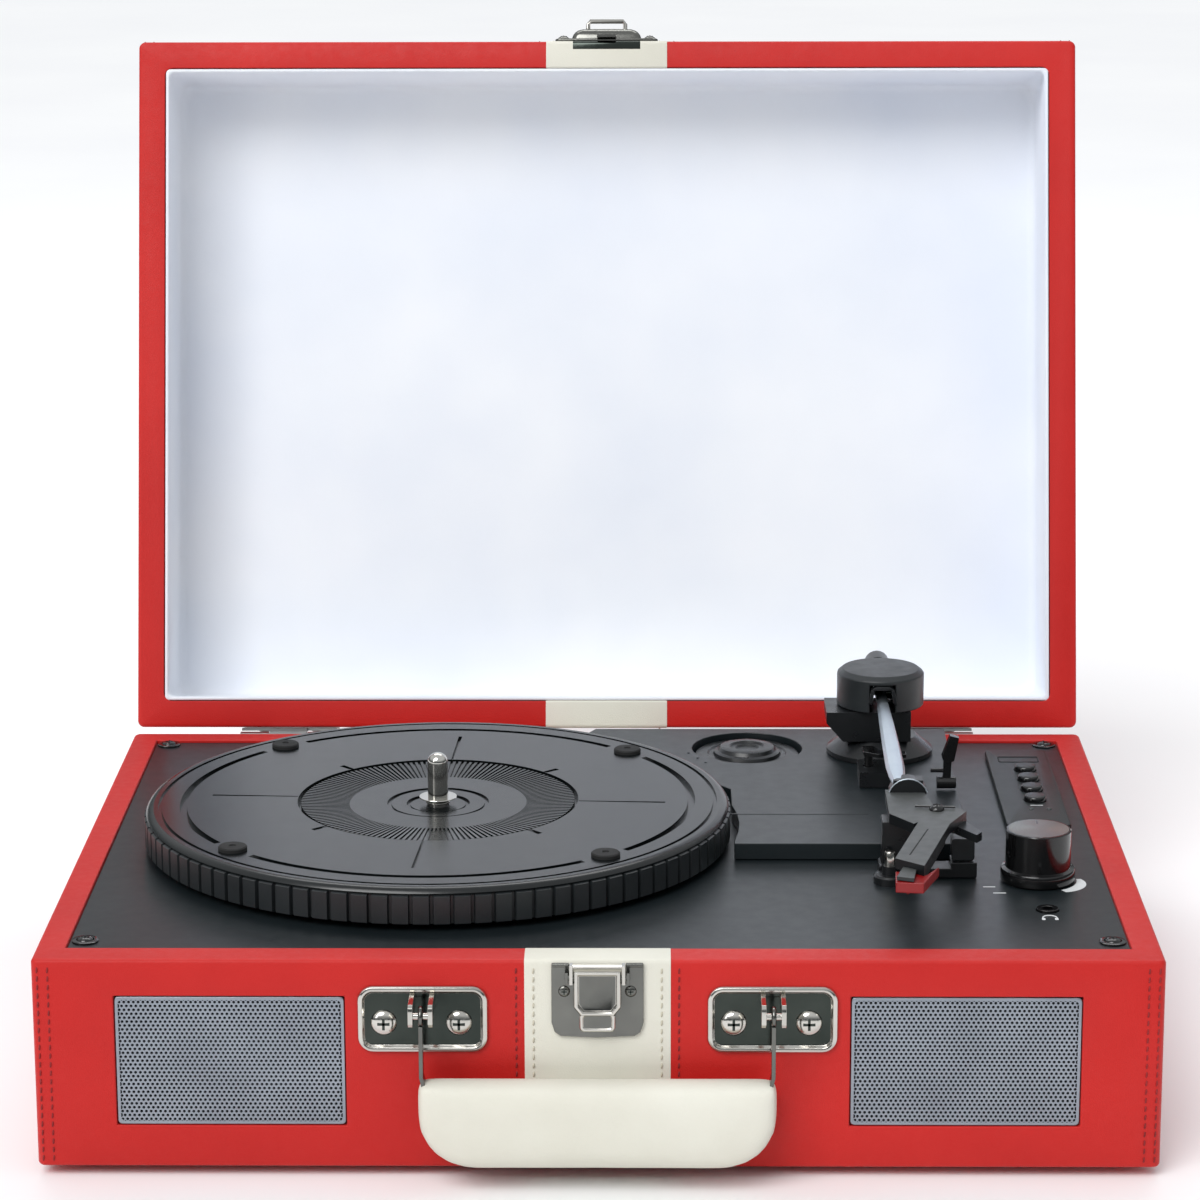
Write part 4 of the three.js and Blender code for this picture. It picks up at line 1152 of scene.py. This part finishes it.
def bake(piece):
    """Replaces the piece's mesh with what its modifiers make of it."""
    graph = bpy.context.evaluated_depsgraph_get()
    graph.update()
    made = bpy.data.meshes.new_from_object(piece.evaluated_get(graph))
    piece.modifiers.clear()
    old = piece.data
    piece.data = made
    bpy.data.meshes.remove(old)


def swell(piece, cap):
    """Blows the piece up as stuffed cloth, with each point's travel capped."""
    start = [v.co.copy() for v in piece.data.vertices]
    cloth = piece.modifiers.new("cloth", "CLOTH")
    cloth.settings.use_pressure = True
    cloth.settings.uniform_pressure_force = 4
    cloth.settings.effector_weights.gravity = 0
    cloth.settings.quality = 6
    cloth.point_cache.frame_start = 1
    cloth.point_cache.frame_end = 20
    scene = bpy.context.scene
    for step in range(1, 21):
        scene.frame_set(step)
    bake(piece)
    scene.frame_set(1)
    for vertex, first in zip(piece.data.vertices, start):
        travel = vertex.co - first
        if travel.length > cap:
            vertex.co = first + travel.normalized() * cap


# ---- Latch -------------------------------------------------------------------------------


def latch():
    """The plate on the case front, and the dished lever that turns on the plate's pin."""
    y = FRONT
    plate_outline = [(-14.4, 68.2), (-14.4, 49), (-13.4, 45.8), (-11.6, 44.6), (0, 44.0),
                     (11.6, 44.6), (13.4, 45.8), (14.4, 49), (14.4, 68.2), (8.8, 68.2),
                     (8.8, 62), (-8.8, 62), (-8.8, 68.2)]
    shapes = [upright(plate_outline, y - 1.4, y - 0.3)]
    for side in (-1, 1):
        shapes.append(tube([(side * 8.9, y - 1.7, 68.1), (side * 14.3, y - 1.7, 68.1)], 0.75, 10))
        shapes.append(block(side * 9.6 - 0.5, side * 9.6 + 0.5, y - 4.6, y - 1.0, 62.6, 66.4))
    screws = []
    recesses = []
    for x, z in ((-10.4, 59.4), (10.4, 59.4)):
        head, recess = face_screw(x, z, y - 1.35, 1.9, 0.9)
        screws.append(head)
        recesses += recess
    pin = tube([(-9.9, y - 3.2, 64.5), (9.9, y - 3.2, 64.5)], 0.85, 12)
    make("latch_plate_look", shapes + screws + [pin], nickel_and_dark_reflection, "case",
         bevel=0.15, angle=40, instead_of="latch_plate")
    # Painted shade: the dark crosses stand for the screws' recesses.
    make("latch_screw_slots", recesses, dark_plate_shade, "case")

    hinge_z, hinge_y = 64.5, y - 3.2
    face = [(-7.4, 2.4), (-7.4, -9.4), (-5.2, -12.2), (5.2, -12.2), (7.4, -9.4), (7.4, 2.4)]
    rings = []
    for inset, depth in ((0.0, 1.0), (0.0, -1.2), (0.3, -1.7), (0.9, -1.8), (1.3, -1.55),
                         (1.5, -1.0), (1.7, -0.9)):
        ring_points = []
        for x, z in face:
            sx = (7.4 - inset) / 7.4
            mid = -4.9
            sz = (7.3 - inset) / 7.3
            ring_points.append((x * sx, hinge_y + depth, hinge_z + mid + (z - mid) * sz))
        rings.append(ring_points)
    tab = rounded(-5.6, 5.6, hinge_z - 17.6, hinge_z - 11.2, 1.4)
    tab_rings = []
    for inset, depth in ((0, 0.3), (0, -0.8), (0.35, -1.2), (0.9, -1.2), (1.2, -0.9)):
        tab_rings.append([(x * (5.6 - inset) / 5.6, hinge_y + depth,
                           hinge_z - 14.4 + (z - hinge_z + 14.4) * (3.2 - inset) / 3.2)
                          for x, z in tab])
    piece = make("latch_lever_look", [loft(rings), loft(tab_rings)], chrome, "latch_lever",
                 bevel=0.12, angle=40)
    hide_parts("latch_lever")
    # Painted dark reflection: the lever's sunken front floor takes satin nickel, darker than its
    # bright rim.
    paint(piece, nickel_and_dark_reflection, lambda centre, normal: normal.y < -0.9 and centre.y > hinge_y - 0.95)
    refine("latch_loop", chrome, 0.15)


def lid_catch():
    """The lid's half of the latch: a plate, its domed body, the wire hook and a folded edge."""
    face = FRONT - 0.3
    low = LID_BOTTOM
    shapes = [loft(inset_rings(-19.5, 19.5, low + 0.8, low + 15, 2.2, face,
                               ((0, 0), (0, -0.6), (0.3, -1.0), (0.9, -1.0))))]
    body_rings = []
    for a in sweep(0, 90, 6):
        inset = 4.2 * (1 - math.cos(a))
        outline = rounded(-13.2 + inset, 13.2 - inset, low + 1.6 + inset * 0.7,
                          low + 12.6 - inset * 0.7, 2.5)
        body_rings.append([(x, face - 0.6 - 4.4 * math.sin(a), z) for x, z in outline])
    shapes.append(loft(body_rings))
    wire = [(-7.0, face - 3.0, low + 6.5), (-7.0, face - 7.0, low + 6.5),
            (-6.2, face - 8.2, low + 6.5), (6.2, face - 8.2, low + 6.5),
            (7.0, face - 7.0, low + 6.5), (7.0, face - 3.0, low + 6.5)]
    shapes.append(block(-3.6, 3.6, face - 2.2, face - 1.0, low - 2.0, low + 3))
    recesses = []
    for x in (-16.4, 16.4):
        head, recess = face_screw(x, low + 7.8, face - 0.95, 2.6, 1.9)
        shapes.append(head)
        recesses += recess
    make("lid_catch_look", shapes, nickel_and_dark_reflection, "lid", on_lid, bevel=0.15,
         angle=40, instead_of="lid_catch")
    make("lid_catch_hook", [tube(wire, 0.85, 10)], chrome, "lid", on_lid)
    fold = [((FRONT, low + 4), (-1, 0))]
    fold += corner(FRONT + 1.2, low + 1.2, 1.2, -180, -90)
    fold.append(((FRONT + 3.0, low), (0, -1)))
    make("lid_catch_fold", [ribbon(fold, 13.0, 0.25)], dark_plate_shade, "lid", on_lid)
    # Painted shade: the dark crosses stand for the screws' recesses.
    make("lid_catch_slots", recesses, dark_plate_shade, "lid", on_lid)


# ---- Hinges ------------------------------------------------------------------------------


def hinge_screws():
    """Two cross-head screws through each hinge leaf, facing the back."""
    leaf_face = HALF_DEPTH + 1.25
    for side in ("left", "right"):
        low, high = case_box(f"hinge_base_leaf_{side}")
        x = (low.x + high.x) / 2
        for body, matrix, z in (("case", None, low.z + 6), ("lid", on_lid, LID_BOTTOM + 8.5)):
            heads = []
            slots = []
            for dx in (-10, 10):
                turn = turned("X", -90, x + dx, leaf_face, z)
                head, recess = cross_screw(0, 0, 0, 2.4, 0.8)
                heads.append(moved(head, turn))
                slots += [moved(r, turn) for r in recess]
            make(f"hinge_screws_{body}_{side}", heads, nickel_and_dark_reflection, body, matrix, angle=40)
            # Painted shade: the dark crosses stand for the screws' recesses.
            make(f"hinge_slots_{body}_{side}", slots, dark_plate_shade, body, matrix)


# ---- Build everything --------------------------------------------------------------------

refine("base_case", red, 0.5, angle=45)
refine("lid_shell", red, 0.5, angle=45)
refine("bottom_panel", fibre)
for corner_name in ("front_left", "front_right", "rear_left", "rear_right"):
    refine(f"foot_{corner_name}", rubber_and_shade, 0.5)
refine("deck_plate", deck, 0.2)
refine("tonearm_platform", deck, 0.7)
refine("rear_jack_panel", black, 0.2)
refine("dc_inlet", black, 0.2)
refine("headphone_jack", gloss, 0.2)
for hinge in ("hinge_base_leaf", "hinge_lid_leaf"):
    for side_name in ("left", "right"):
        refine(f"{hinge}_{side_name}", steel, 0.15)
for inner_node, finish in (("speaker_left", black), ("speaker_right", black),
                           ("main_board", circuit), ("volume_pot", steel),
                           ("platter_bearing", steel), ("drive_motor", steel),
                           ("motor_pulley", steel), ("drive_belt", rubber_and_shade)):
    refine(inner_node, finish, 0.1)

base_strips()
lid_strip()
stitches()
grilles()
liner()
platter()
spindle()
deck_details()
controls()
volume_knob()
adapter()
tonearm()
handle()
latch()
lid_catch()
hinge_screws()


# ---- Floor, light and camera -------------------------------------------------------------


def floor():
    mesh = bpy.data.meshes.new("floor")
    size = 40.0
    mesh.from_pydata([(-size, -size, 0), (size, -size, 0), (size, size, 0), (-size, size, 0)],
                     [], [(0, 1, 2, 3)])
    piece = bpy.data.objects.new("floor", mesh)
    bpy.context.scene.collection.objects.link(piece)
    made = Finish("floor_pale", Roughness=0.9)
    made.colours(made.noise(3), (246, 246, 247), (250, 250, 250))
    mesh.materials.append(made.material)


def aimed(name, kind, location, target):
    """The data of a new light that stands in one place and shines at another."""
    data = bpy.data.lights.new(name, kind)
    lamp = bpy.data.objects.new(name, data)
    lamp.location = location
    lamp.rotation_euler = (Vector(target) - Vector(location)).to_track_quat("-Z", "Y").to_euler()
    bpy.context.scene.collection.objects.link(lamp)
    return data


def lights():
    """A soft sun from the front left, a strip beside it and a panel above and behind."""
    centre = (0, 0, 0.1)
    key = aimed("key", "SUN", (-0.8, -1.6, 2.0), centre)
    key.energy = 1.6
    key.angle = math.radians(35)
    for name, location, width, height, energy in (
        ("strip", (-1.3, -1.3, 1.1), 0.5, 1.4, 5),
        ("overhead", (0, 0.95, 1.7), 1.6, 0.5, 9),
    ):
        panel = aimed(name, "AREA", location, centre)
        panel.shape = "RECTANGLE"
        panel.size, panel.size_y = width, height
        panel.energy = energy


def studio_walls():
    """A pale ceiling over darker walls, so that plated metal has something to reflect."""
    world = bpy.data.worlds.new("studio")
    world.use_nodes = True
    tree = world.node_tree
    background = tree.nodes["Background"]
    background.inputs["Strength"].default_value = 0.72
    direction = tree.nodes.new("ShaderNodeTexCoord")
    split = tree.nodes.new("ShaderNodeSeparateXYZ")
    rise = tree.nodes.new("ShaderNodeMapRange")
    rise.inputs["From Min"].default_value = 0.08
    rise.inputs["From Max"].default_value = 0.5
    shade = tree.nodes.new("ShaderNodeMix")
    shade.data_type = "RGBA"
    shade.inputs["A"].default_value = (0.07, 0.085, 0.09, 1.0)
    shade.inputs["B"].default_value = (0.95, 0.975, 1.0, 1.0)
    tree.links.new(direction.outputs["Generated"], split.inputs["Vector"])
    tree.links.new(split.outputs["Z"], rise.inputs["Value"])
    tree.links.new(rise.outputs["Result"], shade.inputs["Factor"])
    tree.links.new(shade.outputs["Result"], background.inputs["Color"])
    bpy.context.scene.world = world


def camera():
    """The photo's viewpoint, in case millimetres, with its downward pitch, yaw and roll."""
    viewpoint = Vector((16.0, -1295.9, 473.0))
    pitch, yaw, roll = math.radians(13.88), math.radians(-0.73), math.radians(-0.169)
    data = bpy.data.cameras.new("camera")
    data.sensor_width = 36
    data.lens = 118.16
    made = bpy.data.objects.new("camera", data)
    turn = (
        Matrix.Rotation(-yaw, 4, "Z")
        @ Matrix.Rotation(math.pi / 2 - pitch, 4, "X")
        @ Matrix.Rotation(roll, 4, "Z")
    )
    made.matrix_world = Matrix.Translation(place @ viewpoint) @ turn
    bpy.context.scene.collection.objects.link(made)
    bpy.context.scene.camera = made
    bpy.context.scene.view_settings.view_transform = "Standard"


floor()
lights()
studio_walls()
camera()
